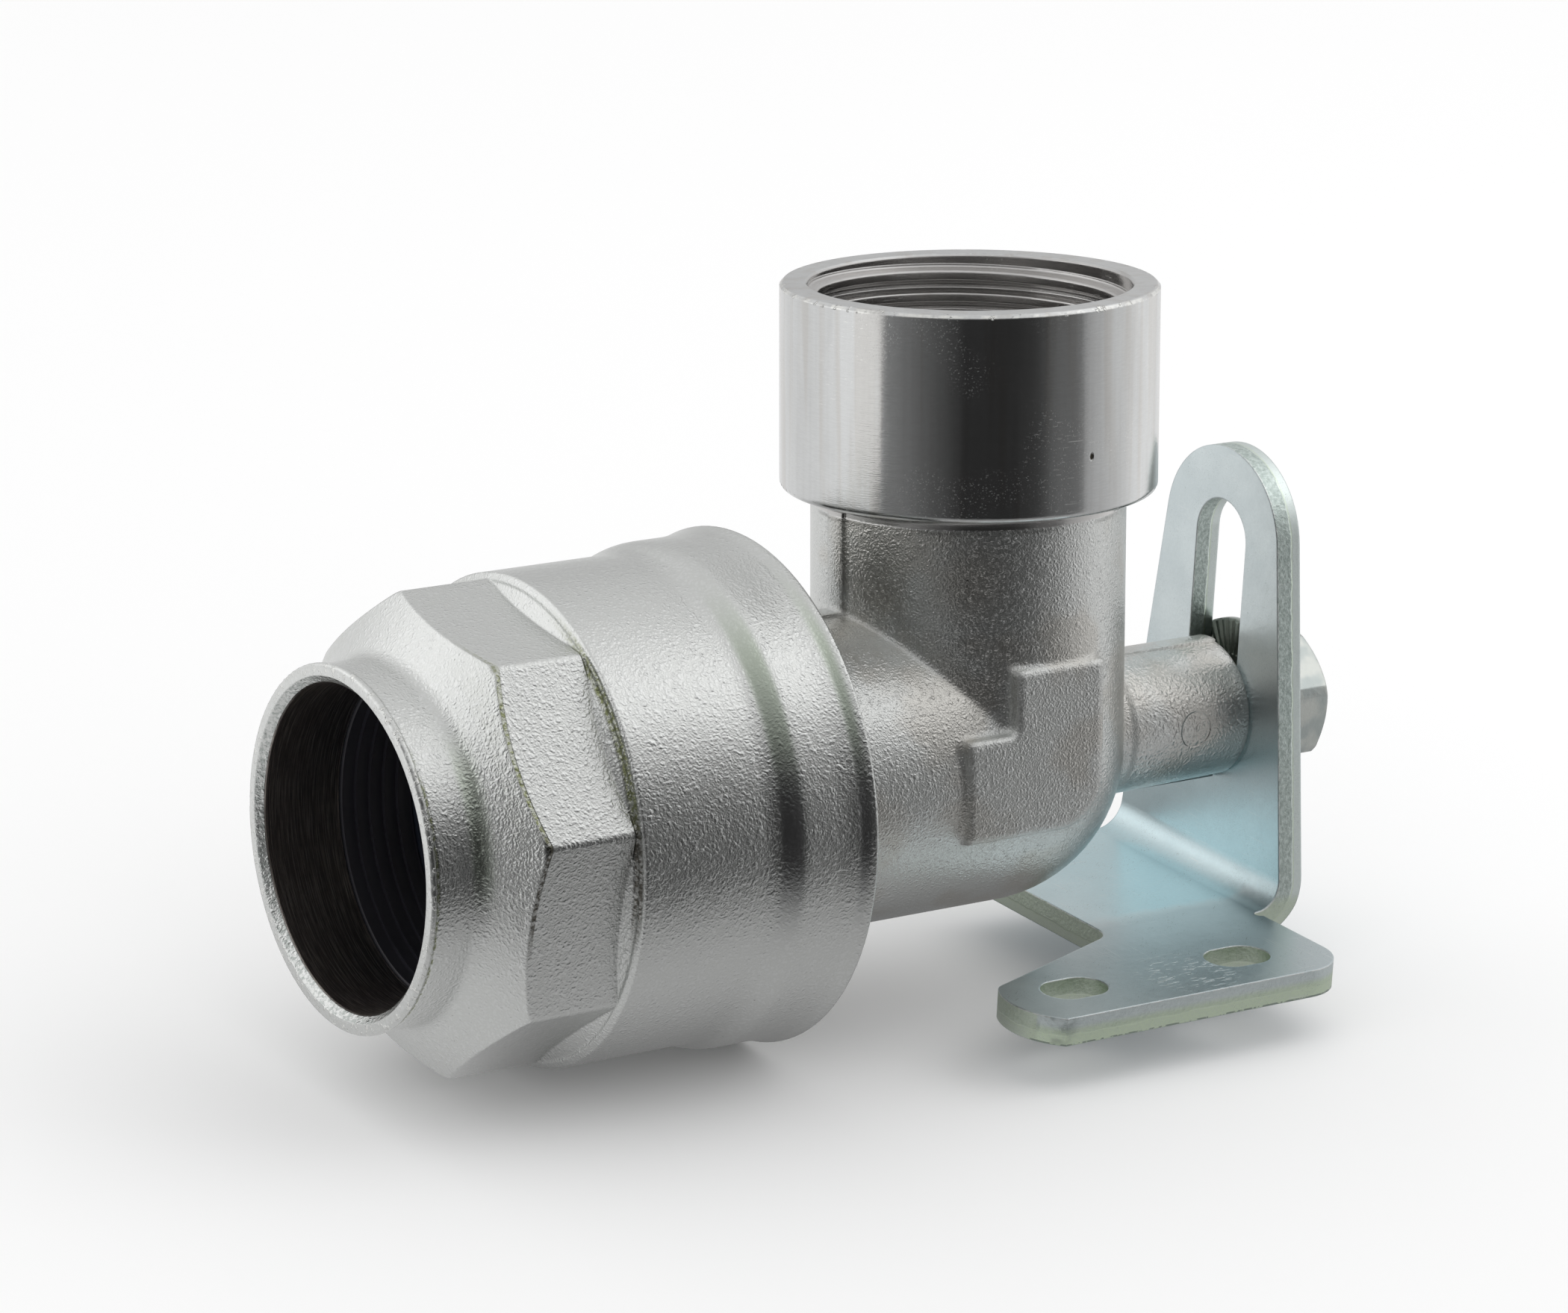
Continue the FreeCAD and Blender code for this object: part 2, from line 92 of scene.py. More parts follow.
# the elbow: radii of its arm, socket and bores, and the heights where its surface changes
ARM_R_MM = 16.3
SOCKET_R_MM = 19.5
WATERWAY_R_MM = 13.0
THREAD_WALL_R_MM = 16.62
BORE_FROM_MM = 13.0
SOCKET_FROM_MM = 26.5
COLLAR_FROM_MM = 27.3
RIM_MM = 49.0
SPIGOT_TURNED_TO_MM = -27.8

# marks on the elbow: a brown stain on the arm, a dark brown line of painted shade under the collar, the round
# print of a press pin on the boss, and an oval pit in the socket
STAIN_AT_MM = (-9.4, -13.3, 21.2)
STAIN_R_MM = 6.0
STAIN_SPECKS_R_MM = 3.2
COLLAR_SHADE_LINE_MM = (25.9, 26.25)
PIN_MARK_AT_MM = (24.28, -7.47, -0.15)
PIN_MARK_R_MM = 1.95
PIT_AT_MM = (1.43, -19.44, 33.9)
PIT_R_MM = 0.24
PIT_SQUASH = 0.65

# the outlet's G1 thread: its place, its ridge across one turn in shares of the pitch, and its fading ends
THREAD_DEPTH_MM = 1.05
THREAD_PITCH_MM = 2.309
THREAD_FROM_MM = 31.6
THREAD_TO_MM = 48.3
THREAD_TOP_MM = 48.7
THREAD_LEAD_IN_MM = 48.95
THREAD_TURN_DEG = 206.0
THREAD_FOOT = 0.36
THREAD_FLANK = 0.17
THREAD_ROUNDING = 0.02
THREAD_END_WIDTH = 0.1
THREAD_FADE_IN_TURNS = 0.8
THREAD_FADE_OUT_TURNS = 0.4
THREAD_PROUD_MM = 0.02
THREAD_BACK_MM = 0.12
STEPS_PER_TURN = 120
STEPS_ACROSS = 41

# the nut, along the pipe axis and away from it: mouth and lip, neck and hollow, the cone that ends the flats
# in front, the flats' run-out, the skirt, and the two S-shaped steps behind it
NUT_MOUTH_MM = -74.65
NUT_BORE_R_MM = 16.43
NUT_INSIDE_FROM_MM = -66.35
NUT_INSIDE_R_MM = 21.3
LIP_END_MM = -74.0
LIP_INNER_R_MM = 17.2
NECK_R_MM = 17.95
HOLLOW_MM = (-70.0, -68.4)
FLATS_FRONT_MM = -66.2
FLATS_R_MM = 22.5
CONE_SLOPE = 1.54
CONE_FROM_R_MM = 21.0
RUNOUT_MM = -55.1
SKIRT_R_MM = 24.9
S_STEPS_MM = ((-39.4, -37.2), (-30.8, -29.7))
S_STEPS_FROM_R_MM = 23.5

# stretches of the way round the nut, by the rise of a point: 1 at the top, 0 at the sides, -1 at the bottom
TOOL_SIDE = (-0.25, 0.86)
# HOLLOW_SIDE, GREEN_SIDE and DARK_SIDE are where the hollow and the S steps get painted shade
HOLLOW_SIDE = (-0.05, 0.65)
GREEN_SIDE = (0.30, 0.82)
DARK_SIDE = (-0.20, 0.70)

# the bracket, in the row frame: the bend's axis along Y, its inner radius, the sheet, and where the foot's
# front edge, its slots and its top end
BEND_X_MM = 20.35
BEND_Z_MM = 6.0
BEND_R_MM = 3.0
SHEET_MM = 3.0
FOOT_FRONT_TO_Y_MM = -3.25
SLOTS_FROM_Y_MM = -4.2
FOOT_TO_Z_MM = 3.85

# its marks: where the cyan stain begins and the slate one ends, a scuffed patch, and a stained corner
CYAN_FROM_Y_MM = 18.5
SLATE_TO_Y_MM = 17.75
SCUFF_AT_MM = (2.9, -1.4, 3.0)
SCUFF_R_MM = (3.5, 6.5)
CORNER_STAIN_AT_MM = (-16.9, -5.9, 2.1)
CORNER_STAIN_R_MM = (1.2, 2.8)

# the bolt's toothed flange ends here along X, in the row frame
TEETH_TO_X_MM = 27.0


# mesh making

def fitting_to_row(points_mm):
    """Takes points from the fitting's frame in mm to the row frame in metres: a turn about X and a shift."""
    angle = math.radians(LEAN_DEG)
    cosine, sine = math.cos(angle), math.sin(angle)
    x, y, z = np.asarray(points_mm, float).T
    turned = np.stack([x, y * cosine - z * sine, y * sine + z * cosine], 1)
    return turned * MM + np.array(FITTING_AT)


def make_piece(name, points, faces):
    """Puts points (n, 3) and quads (m, 4) into a new smooth mesh object at the origin."""
    mesh = bpy.data.meshes.new(name)
    mesh.from_pydata(points.tolist(), [], faces.tolist())
    mesh.update()
    mesh.polygons.foreach_set("use_smooth", np.full(len(mesh.polygons), True))
    piece = bpy.data.objects.new(name, mesh)
    bpy.context.scene.collection.objects.link(piece)
    return piece


def grid_faces(rows, columns):
    """Quads of a grid of rows x columns points, closed on itself along the columns."""
    row = np.arange(rows - 1)[:, None]
    column = np.arange(columns)[None, :]
    after = (column + 1) % columns
    here, ahead = row * columns, (row + 1) * columns
    corners = [here + column, here + after, ahead + after, ahead + column]
    return np.stack(np.broadcast_arrays(*corners), -1).reshape(-1, 4)


def smooth_step(value, low, high):
    """0 below low, 1 above high, and a smooth S between."""
    t = np.clip((value - low) / (high - low), 0, 1)
    return t * t * (3 - 2 * t)


def close_ends(piece, rows, columns):
    """Closes the first and the last row of a grid with one face each, and turns all faces outwards."""
    work = bmesh.new()
    work.from_mesh(piece.data)
    work.verts.ensure_lookup_table()
    for row in (0, rows - 1):
        work.faces.new([work.verts[row * columns + i] for i in range(columns)])
    bmesh.ops.recalc_face_normals(work, faces=work.faces)
    work.to_mesh(piece.data)
    work.free()


def ridge_profile(v):
    """The ridge's height across one pitch, as a share of its depth: flat crest, steep flanks, flat root.

    flank = (foot - |v|) / flank width goes from 0 at the foot to 1 at the crest, and is held between them by
    (|flank| - |flank - 1| + 1) / 2, whose corners are rounded by taking |a| as sqrt(a^2 + rounding).
    """
    flank = (THREAD_FOOT - np.abs(v)) / THREAD_FLANK
    return 0.5 + (np.sqrt(flank ** 2 + THREAD_ROUNDING) - np.sqrt((flank - 1) ** 2 + THREAD_ROUNDING)) / 2


def thread_ridge():
    """The outlet's female thread as one ridge wound on a helix.

    Along the helix t runs over the turns: angle = 2 pi t, height = start + pitch t. Across it, v runs over
    one pitch: radius = wall - depth * ridge(v), closed by a back that lies in the wall. The ridge fades and
    narrows at both ends, and a 45 degree cone cuts it away at the mouth.
    """
    turns = (THREAD_TO_MM - THREAD_FROM_MM) / THREAD_PITCH_MM
    rows = int(turns * STEPS_PER_TURN)
    t = np.linspace(0, turns, rows)[:, None]
    v = np.concatenate([np.linspace(-0.5, 0.5, STEPS_ACROSS), [0.5, -0.5]])[None, :]
    in_wall = (np.arange(v.size) >= STEPS_ACROSS)[None, :]
    fade_out = smooth_step(t, turns - THREAD_FADE_OUT_TURNS, turns)
    fade = smooth_step(t, 0, THREAD_FADE_IN_TURNS) * (1 - fade_out)
    width = THREAD_END_WIDTH + (1 - THREAD_END_WIDTH) * fade
    height = np.minimum(THREAD_FROM_MM + THREAD_PITCH_MM * (t + v * width), THREAD_TOP_MM)
    cone_r = THREAD_WALL_R_MM - np.maximum(THREAD_LEAD_IN_MM - height, 0)
    inner_r = np.maximum(THREAD_WALL_R_MM - THREAD_DEPTH_MM * ridge_profile(v) * fade, cone_r)
    radius = np.where(in_wall, THREAD_WALL_R_MM + THREAD_BACK_MM, inner_r - THREAD_PROUD_MM)
    angle = 2 * math.pi * t + math.radians(THREAD_TURN_DEG)
    points = np.stack([radius * np.cos(angle), radius * np.sin(angle), height], -1)
    piece = make_piece("thread_ridge", fitting_to_row(points.reshape(-1, 3)), grid_faces(rows, v.size))
    close_ends(piece, rows, v.size)
    return piece


# node making

def put(tree, kind, inputs=None, **settings):
    """Adds a node, gives it its settings, and fills its inputs with values or with other nodes' sockets."""
    made = tree.nodes.new(kind)
    for name, value in settings.items():
        setattr(made, name, value)
    for name, value in (inputs or {}).items():
        if isinstance(value, bpy.types.NodeSocket):
            tree.links.new(value, made.inputs[name])
        else:
            made.inputs[name].default_value = value
    return made


def calc(tree, operation, a, b=0.0, c=0.0, clamp=False):
    """One math node's result."""
    return put(tree, "ShaderNodeMath", {0: a, 1: b, 2: c}, operation=operation, use_clamp=clamp).outputs[0]


def chained(tree, operation, values):
    """Several values joined by one operation, two at a time."""
    result = values[0]
    for value in values[1:]:
        result = calc(tree, operation, result, value)
    return result


def product(tree, *factors):
    """Several values multiplied."""
    return chained(tree, "MULTIPLY", factors)


def total(tree, *terms):
    """Several values added."""
    return chained(tree, "ADD", terms)


def largest(tree, *values):
    """The largest of several values."""
    return chained(tree, "MAXIMUM", values)


def inverse(tree, mask):
    """1 where a mask is 0, and 0 where it is 1."""
    return calc(tree, "SUBTRACT", 1.0, mask)


def step(tree, value, low, high, to_low=0.0, to_high=1.0):
    """A smooth step of value from low to high, as one Map Range node. It falls where low is the larger."""
    inputs = {"Value": value, "From Min": low, "From Max": high, "To Min": to_low, "To Max": to_high}
    return put(tree, "ShaderNodeMapRange", inputs, interpolation_type="SMOOTHSTEP").outputs["Result"]


def above(tree, value, edge, soft):
    """1 where value lies above edge, with a border 2 x soft wide."""
    return step(tree, value, edge - soft, edge + soft)


def below(tree, value, edge, soft):
    """1 where value lies below edge, with a border 2 x soft wide."""
    return step(tree, value, edge + soft, edge - soft)


def band(tree, value, low, high, soft):
    """1 where value lies between low and high, with borders 2 x soft wide."""
    return product(tree, above(tree, value, low, soft), below(tree, value, high, soft))


def between(tree, mask, off, on):
    """The value off where a mask is 0, on where it is 1."""
    return step(tree, mask, 0, 1, off, on)


def distance(tree, point, centre):
    """How far a point lies from a centre."""
    return put(tree, "ShaderNodeVectorMath", {0: point, 1: centre}, operation="DISTANCE").outputs["Value"]


def spot(tree, point, centre, inner, outer):
    """1 within inner of a centre, 0 beyond outer."""
    return step(tree, distance(tree, point, centre), outer, inner)


def axes_of(tree, point):
    """A point's x, y and z."""
    return put(tree, "ShaderNodeSeparateXYZ", {0: point}).outputs


def noise(tree, vector, scale, detail=2.0, roughness=0.5):
    """A noise texture's value, from 0 to 1."""
    inputs = {"Vector": vector, "Scale": scale, "Detail": detail, "Roughness": roughness}
    return put(tree, "ShaderNodeTexNoise", inputs).outputs["Fac"]


def line_noise(tree, place, detail):
    """A noise that changes along one line only."""
    inputs = {"W": place, "Scale": 1.0, "Detail": detail}
    return put(tree, "ShaderNodeTexNoise", inputs, noise_dimensions="1D").outputs["Fac"]


def stretched(tree, point, scale, turn=(0, 0, 0), shift=(0, 0, 0)):
    """A point turned, scaled along each axis and shifted, for patterns that run one way."""
    inputs = {"Vector": point, "Rotation": turn, "Scale": scale, "Location": shift}
    return put(tree, "ShaderNodeMapping", inputs).outputs[0]


def blend_colour(tree, factor, first, second, mode="MIX"):
    """A Mix node's colour: first where factor is 0, second where it is 1."""
    made = put(tree, "ShaderNodeMix", data_type="RGBA", blend_type=mode)
    for index, value in ((0, factor), (6, first), (7, second)):
        if isinstance(value, bpy.types.NodeSocket):
            tree.links.new(value, made.inputs[index])
        else:
            made.inputs[index].default_value = value
    return made.outputs[2]


def paint(tree, colour, mask, coat, strength=1.0, mode="MIX"):
    """A colour with a coat over it where the mask is."""
    if strength < 1:
        mask = product(tree, mask, strength)
    return blend_colour(tree, mask, colour, coat, mode)


def new_group(name, inputs, outputs):
    """An empty shader node group with named sockets: the tree, its inputs' sockets and its output node."""
    tree = bpy.data.node_groups.new(name, "ShaderNodeTree")
    for label, kind, value in inputs:
        tree.interface.new_socket(label, in_out="INPUT", socket_type=kind).default_value = value
    for label, kind in outputs:
        tree.interface.new_socket(label, in_out="OUTPUT", socket_type=kind)
    return tree, tree.nodes.new("NodeGroupInput").outputs, tree.nodes.new("NodeGroupOutput")


def use(tree, group, inputs):
    """Places a node group in a tree and returns its outputs."""
    return put(tree, "ShaderNodeGroup", inputs, node_tree=group).outputs


FLOAT, VECTOR = "NodeSocketFloat", "NodeSocketVector"


def fitting_place_group():
    """Place in mm in the fitting's frame: the point, its distances along and from both axes, and its rise.

    The rise is the point's z over its distance from the pipe axis, so it tells the way round the pipe.
    """
    outputs = [("Point", VECTOR), ("Along pipe", FLOAT), ("Height", FLOAT), ("From pipe axis", FLOAT),
               ("From outlet axis", FLOAT), ("Rise", FLOAT)]
    tree, given, end = new_group("place on fitting", [("Object point", VECTOR, (0, 0, 0))], outputs)
    to_fitting = {"Vector": given[0], "Location": FITTING_AT, "Rotation": (math.radians(LEAN_DEG), 0, 0),
                  "Scale": (MM, MM, MM)}
    point = put(tree, "ShaderNodeMapping", to_fitting, vector_type="TEXTURE").outputs[0]
    along_pipe, _, height = axes_of(tree, point)
    reaches = []
    for across in ((0, 1, 1), (1, 1, 0)):
        flat = put(tree, "ShaderNodeVectorMath", {0: point, 1: across}, operation="MULTIPLY").outputs[0]
        reaches.append(put(tree, "ShaderNodeVectorMath", {0: flat}, operation="LENGTH").outputs["Value"])
    rise = calc(tree, "DIVIDE", height, reaches[0])
    for (label, _), socket in zip(outputs, (point, along_pipe, height, *reaches, rise)):
        tree.links.new(socket, end.inputs[label])
    return tree


def blast_grain_group():
    """The skin that shot blasting leaves under plating: worm-like bumps, a finer grain, a slow waviness."""
    inputs = [("Point", VECTOR, (0, 0, 0)), ("Grain", FLOAT, 0.5), ("Depth", FLOAT, 0.03)]
    tree, given, end = new_group("blast grain", inputs, [("Height", FLOAT), ("Crest", FLOAT)])
    point, grain, depth = given[0], given[1], given[2]
    per_grain = calc(tree, "DIVIDE", 1.0, grain)

    def worms(scale):
        """sqrt(swing^2 + a little), swing being a noise from -1 to 1: creases run where it crosses 0."""
        swing = calc(tree, "MULTIPLY_ADD", noise(tree, point, scale, 1.0, 0.45), 2.0, -1.0)
        return calc(tree, "SQRT", calc(tree, "MULTIPLY_ADD", swing, swing, 0.009))

    coarse = worms(per_grain)
    fine = worms(product(tree, per_grain, 2.1))
    bumps = calc(tree, "MULTIPLY_ADD", fine, 0.35, coarse)
    waviness = noise(tree, point, 0.25, 2.0, 0.5)
    height = calc(tree, "MULTIPLY_ADD", waviness, 0.05, product(tree, bumps, depth, 1.6))
    tree.links.new(height, end.inputs["Height"])
    # Crest is 0 in the grain's creases, where the materials paint the nickel darker as shade
    tree.links.new(step(tree, bumps, 0.08, 0.5), end.inputs["Crest"])
    return tree


def turned_lines_group():
    """A lathe tool's marks: fine lines, each at one place along the axis and a little uneven round it."""
    inputs = [("Point", VECTOR, (0, 0, 0)), ("Along", FLOAT, 0.0), ("Lines per mm", FLOAT, 6.0),
              ("Depth", FLOAT, 0.002)]
    tree, given, end = new_group("turned lines", inputs, [("Height", FLOAT), ("Shade", FLOAT)])
    point, along, per_mm, depth = given[0], given[1], given[2], given[3]
    uneven = noise(tree, point, 0.12, 2.0, 0.5)
    place = calc(tree, "MULTIPLY_ADD", uneven, 1.2, product(tree, along, per_mm))
    fine = line_noise(tree, place, 3.0)
    broad = line_noise(tree, product(tree, place, 0.17), 1.0)
    both = total(tree, product(tree, fine, 0.65), product(tree, broad, 0.35))
    tree.links.new(product(tree, both, depth), end.inputs["Height"])
    tree.links.new(both, end.inputs["Shade"])
    return tree


def hairlines_group():
    """Handling marks: sparse straight hairlines, long and thin, gathered in patches."""
    inputs = [("Point", VECTOR, (0, 0, 0)), ("Size", FLOAT, 1.0), ("Amount", FLOAT, 0.5)]
    tree, given, end = new_group("hairlines", inputs, [("Mask", FLOAT)])
    point, size, amount = given[0], given[1], given[2]
    ways = (((0.25, 9.0, 9.0), (0.3, 0.5, 0.9), 3.1), ((7.0, 0.2, 7.0), (1.2, -0.4, 0.2), 7.7))
    lines = []
    for scale, turn, shift in ways:
        drawn_out = stretched(tree, point, scale, turn, (shift, shift, shift))
        lines.append(step(tree, noise(tree, drawn_out, size, 1.0, 0.4), 0.68, 0.74))
    patches = step(tree, noise(tree, point, product(tree, size, 0.15), 1.0, 0.5), 0.45, 0.6)
    tree.links.new(product(tree, largest(tree, *lines), patches, amount), end.inputs["Mask"])
    return tree


def specks_group():
    """Small spots of dirt or tarnish, closer together where Where is high."""
    inputs = [("Point", VECTOR, (0, 0, 0)), ("Size", FLOAT, 0.6), ("Where", FLOAT, 0.5)]
    tree, given, end = new_group("specks", inputs, [("Mask", FLOAT)])
    point, size, where = given[0], given[1], given[2]
    spots = noise(tree, point, calc(tree, "DIVIDE", 1.0, size), 3.0, 0.6)
    threshold = calc(tree, "MULTIPLY_ADD", where, -0.34, 0.80)
    mask = calc(tree, "DIVIDE", calc(tree, "SUBTRACT", spots, threshold), 0.10, clamp=True)
    tree.links.new(mask, end.inputs["Mask"])
    return tree


PLACE = fitting_place_group()
GRAIN = blast_grain_group()
TURNED = turned_lines_group()
HAIRLINES = hairlines_group()
SPECKS = specks_group()


# materials

NICKEL = (0.71, 0.72, 0.71, 1)
# painted shade: the blasted nickel in the grain's creases
NICKEL_CREASE_SHADE = (0.665, 0.675, 0.66, 1)
TURNED_NICKEL = (0.67, 0.68, 0.68, 1)
# the turned nickel's dark tone, also used for painted reflection streaks on the socket
TURNED_DARK_TONE_AND_REFLECTION = (0.38, 0.37, 0.36, 1)
# painted shade: the nickel inside the elbow's bore
BORE_NICKEL_SHADED = (0.58, 0.57, 0.56, 1)
# painted shade: greenish darker nickel on the step under the collar
UNDER_COLLAR_SHADE_NICKEL = (0.60, 0.64, 0.58, 1)
OLIVE_TARNISH = (0.24, 0.26, 0.13, 1)
GROOVE_DARK_LOW = (0.13, 0.12, 0.10, 1)
# painted shade on the nut: a green-grey tint for its hollow and S steps, and a grey for the S steps
GREEN_SHADE_TINT = (0.80, 0.88, 0.75, 1)
SMOOTH_SHADE = (0.62, 0.62, 0.63, 1)
# brown: the forging's own tone and stain, and a painted reflection on the turned socket
BROWN_TONE_AND_REFLECTION_TINT = (0.86, 0.81, 0.76, 1)
DEEP_BROWN = (0.05, 0.045, 0.035, 1)
# painted shade and sheen inside the nut's bore
NUT_BORE_SHADE = (0.38, 0.34, 0.32, 1)
NUT_BORE_SHEEN = (0.82, 0.75, 0.69, 1)
BURR = (0.85, 0.85, 0.82, 1)

ZINC = (0.74, 0.81, 0.82, 1)
ZINC_CYAN = (0.57, 0.77, 0.82, 1)
ZINC_SLATE = (0.50, 0.57, 0.59, 1)
ZINC_OLIVE = (0.60, 0.68, 0.54, 1)
ZINC_YELLOW = (0.71, 0.82, 0.64, 1)
ZINC_DARK = (0.20, 0.24, 0.22, 1)
ZINC_TORN = (0.44, 0.51, 0.48, 1)
ZINC_EDGE = (0.68, 0.76, 0.73, 1)
ZINC_BURNISHED = (0.75, 0.82, 0.80, 1)
# bright zinc for scuffs and hairlines, and for a painted highlight along cut edges
ZINC_WEAR_AND_HIGHLIGHT = (0.86, 0.88, 0.87, 1)
BOLT_ZINC = (0.60, 0.62, 0.59, 1)
BOLT_SLATE = (0.46, 0.50, 0.49, 1)
BOLT_GREEN = (0.22, 0.26, 0.22, 1)

# the rings, each between two blacks
GRIP_BLACKS = (0.016, 0.016, 0.020, 1), (0.028, 0.028, 0.036, 1)
PRESSURE_BLACKS = (0.016, 0.019, 0.028, 1), (0.026, 0.032, 0.046, 1)
SEAL_BLACKS = (0.008, 0.008, 0.009, 1), (0.014, 0.014, 0.015, 1)

# the blast grain's size and depth in mm: on the arms, on the boss and on the nut
ARM_GRAIN_MM, ARM_GRAIN_DEPTH_MM = 0.43, 0.058
BOSS_GRAIN_MM, BOSS_GRAIN_DEPTH_MM = 0.60, 0.068
NUT_GRAIN_MM, NUT_GRAIN_DEPTH_MM = 0.52, 0.055

# how far edges look rounded, in metres
TURNED_EDGE_R = 0.0002
FORGED_EDGE_R = 0.0012
NUT_EDGE_R = 0.0003
SHEET_EDGE_R = 0.00025
BOLT_EDGE_R = 0.0003


def new_material(name, metallic=1.0):
    """An empty material with a Principled BSDF wired to its output: the material, its tree and the shader."""
    material = bpy.data.materials.new(name)
    material.use_nodes = True
    tree = material.node_tree
    tree.nodes.clear()
    shader = tree.nodes.new("ShaderNodeBsdfPrincipled")
    shader.inputs["Metallic"].default_value = metallic
    output = tree.nodes.new("ShaderNodeOutputMaterial")
    tree.links.new(shader.outputs[0], output.inputs[0])
    return material, tree, shader


def object_point(tree):
    """The point on the piece in metres, in the row frame."""
    return put(tree, "ShaderNodeTexCoord").outputs["Object"]


def point_in_mm(tree):
    """The point on the piece in mm, in the row frame."""
    return stretched(tree, object_point(tree), (1 / MM, 1 / MM, 1 / MM))


def feed(tree, shader, colour, roughness, height, edge_r=None):
    """Wires colour, roughness and a height in mm to the shader; edges look rounded by edge_r metres."""
    tree.links.new(colour, shader.inputs["Base Color"])
    tree.links.new(roughness, shader.inputs["Roughness"])
    bump = put(tree, "ShaderNodeBump", {"Height": height, "Distance": MM})
    if edge_r is not None:
        edge = put(tree, "ShaderNodeBevel", {"Radius": edge_r}, samples=6)
        tree.links.new(edge.outputs[0], bump.inputs["Normal"])
    tree.links.new(bump.outputs[0], shader.inputs["Normal"])


def elbow_surfaces(tree, place):
    """Masks of the elbow's surfaces: bore, turned and blasted metal, the step under the collar, rim, boss."""
    height, along, reach = place["Height"], place["Along pipe"], place["From outlet axis"]
    turned = above(tree, height, SOCKET_FROM_MM - 0.10, 0.15)
    in_socket = below(tree, reach, THREAD_WALL_R_MM + 0.10, 0.10)
    in_waterway = below(tree, reach, WATERWAY_R_MM + 0.20, 0.10)
    bore = product(tree, above(tree, height, BORE_FROM_MM, 1.0), in_socket)
    bored = product(tree, bore, largest(tree, turned, in_waterway))
    smooth = largest(tree, turned, bored, below(tree, along, SPIGOT_TURNED_TO_MM, 0.2))
    rim_top = above(tree, height, RIM_MM - 0.475, 0.075)
    return SimpleNamespace(
        bore=bore, smooth=smooth, blasted=inverse(tree, smooth),
        under_collar=band(tree, height, SOCKET_FROM_MM + 0.2, COLLAR_FROM_MM, 0.15),
        rim=product(tree, rim_top, above(tree, reach, SOCKET_R_MM - 0.55, 0.15)),
        boss=above(tree, along, ARM_R_MM, 1.0))


def elbow_marks(tree, place, on):
    """The patterns on the elbow that its relief and its colour share."""
    point, height, reach = place["Point"], place["Height"], place["From outlet axis"]
    grain = {"Point": point, "Grain": between(tree, on.boss, ARM_GRAIN_MM, BOSS_GRAIN_MM),
             "Depth": between(tree, on.boss, ARM_GRAIN_DEPTH_MM, BOSS_GRAIN_DEPTH_MM)}
    lines = {"Point": point, "Along": height, "Lines per mm": 7.0, "Depth": 0.006}
    squashed = stretched(tree, point, (1.0, 1.0, PIT_SQUASH))
    pit_at = (PIT_AT_MM[0], PIT_AT_MM[1], PIT_AT_MM[2] * PIT_SQUASH)
    pin_print = below(tree, distance(tree, point, PIN_MARK_AT_MM), PIN_MARK_R_MM - 0.02, 0.10)
    rim_edge = product(tree, band(tree, height, RIM_MM - 0.42, RIM_MM - 0.1, 0.05),
                       above(tree, reach, SOCKET_R_MM - 0.4, 0.1))
    return SimpleNamespace(
        grain=use(tree, GRAIN, grain),
        lines=use(tree, TURNED, lines),
        scuffs=use(tree, HAIRLINES, {"Point": point, "Size": 0.8, "Amount": 1.0})["Mask"],
        nicks=product(tree, step(tree, noise(tree, point, 0.95, 3.0, 0.6), 0.59, 0.66), on.rim),
        burr=product(tree, rim_edge, step(tree, noise(tree, point, 0.5, 3.0, 0.6), 0.42, 0.58)),
        pit=spot(tree, squashed, pit_at, PIT_R_MM - 0.09, PIT_R_MM + 0.09),
        pin_mark=product(tree, pin_print, on.boss),
        facets=noise(tree, stretched(tree, point, (0.42, 0.42, 0.02)), 1.0, 2.0, 0.5),
        brushed=noise(tree, stretched(tree, point, (0.9, 0.9, 8.0)), 1.0, 2.0, 0.6))


def elbow_relief(tree, on, marks):
    """The elbow's height in mm: grain where blasted, tool marks where turned, and the marks of use."""
    return total(
        tree,
        product(tree, marks.grain["Height"], on.blasted),
        product(tree, marks.lines["Height"], on.smooth, between(tree, on.bore, 1.0, 0.15)),
        product(tree, marks.nicks, 0.12),
        product(tree, marks.pit, -0.15),
        product(tree, marks.scuffs, on.smooth, -0.006),
        product(tree, marks.pin_mark, -0.12),
        product(tree, marks.facets, on.smooth, 0.02),
        product(tree, marks.brushed, on.smooth, 0.011))


def forging_colour(tree, point, marks):
    """Blasted nickel, painted darker in the grain's creases as shade, brownish in slow clouds and round the
    stain.
    """
    stained = spot(tree, point, STAIN_AT_MM, 1.0, STAIN_R_MM)
    warm = largest(tree, step(tree, noise(tree, point, 0.11, 2.0, 0.5), 0.46, 0.62), stained)
    colour = blend_colour(tree, marks.grain["Crest"], NICKEL_CREASE_SHADE, NICKEL)
    return paint(tree, colour, warm, BROWN_TONE_AND_REFLECTION_TINT, 0.6, "MULTIPLY")


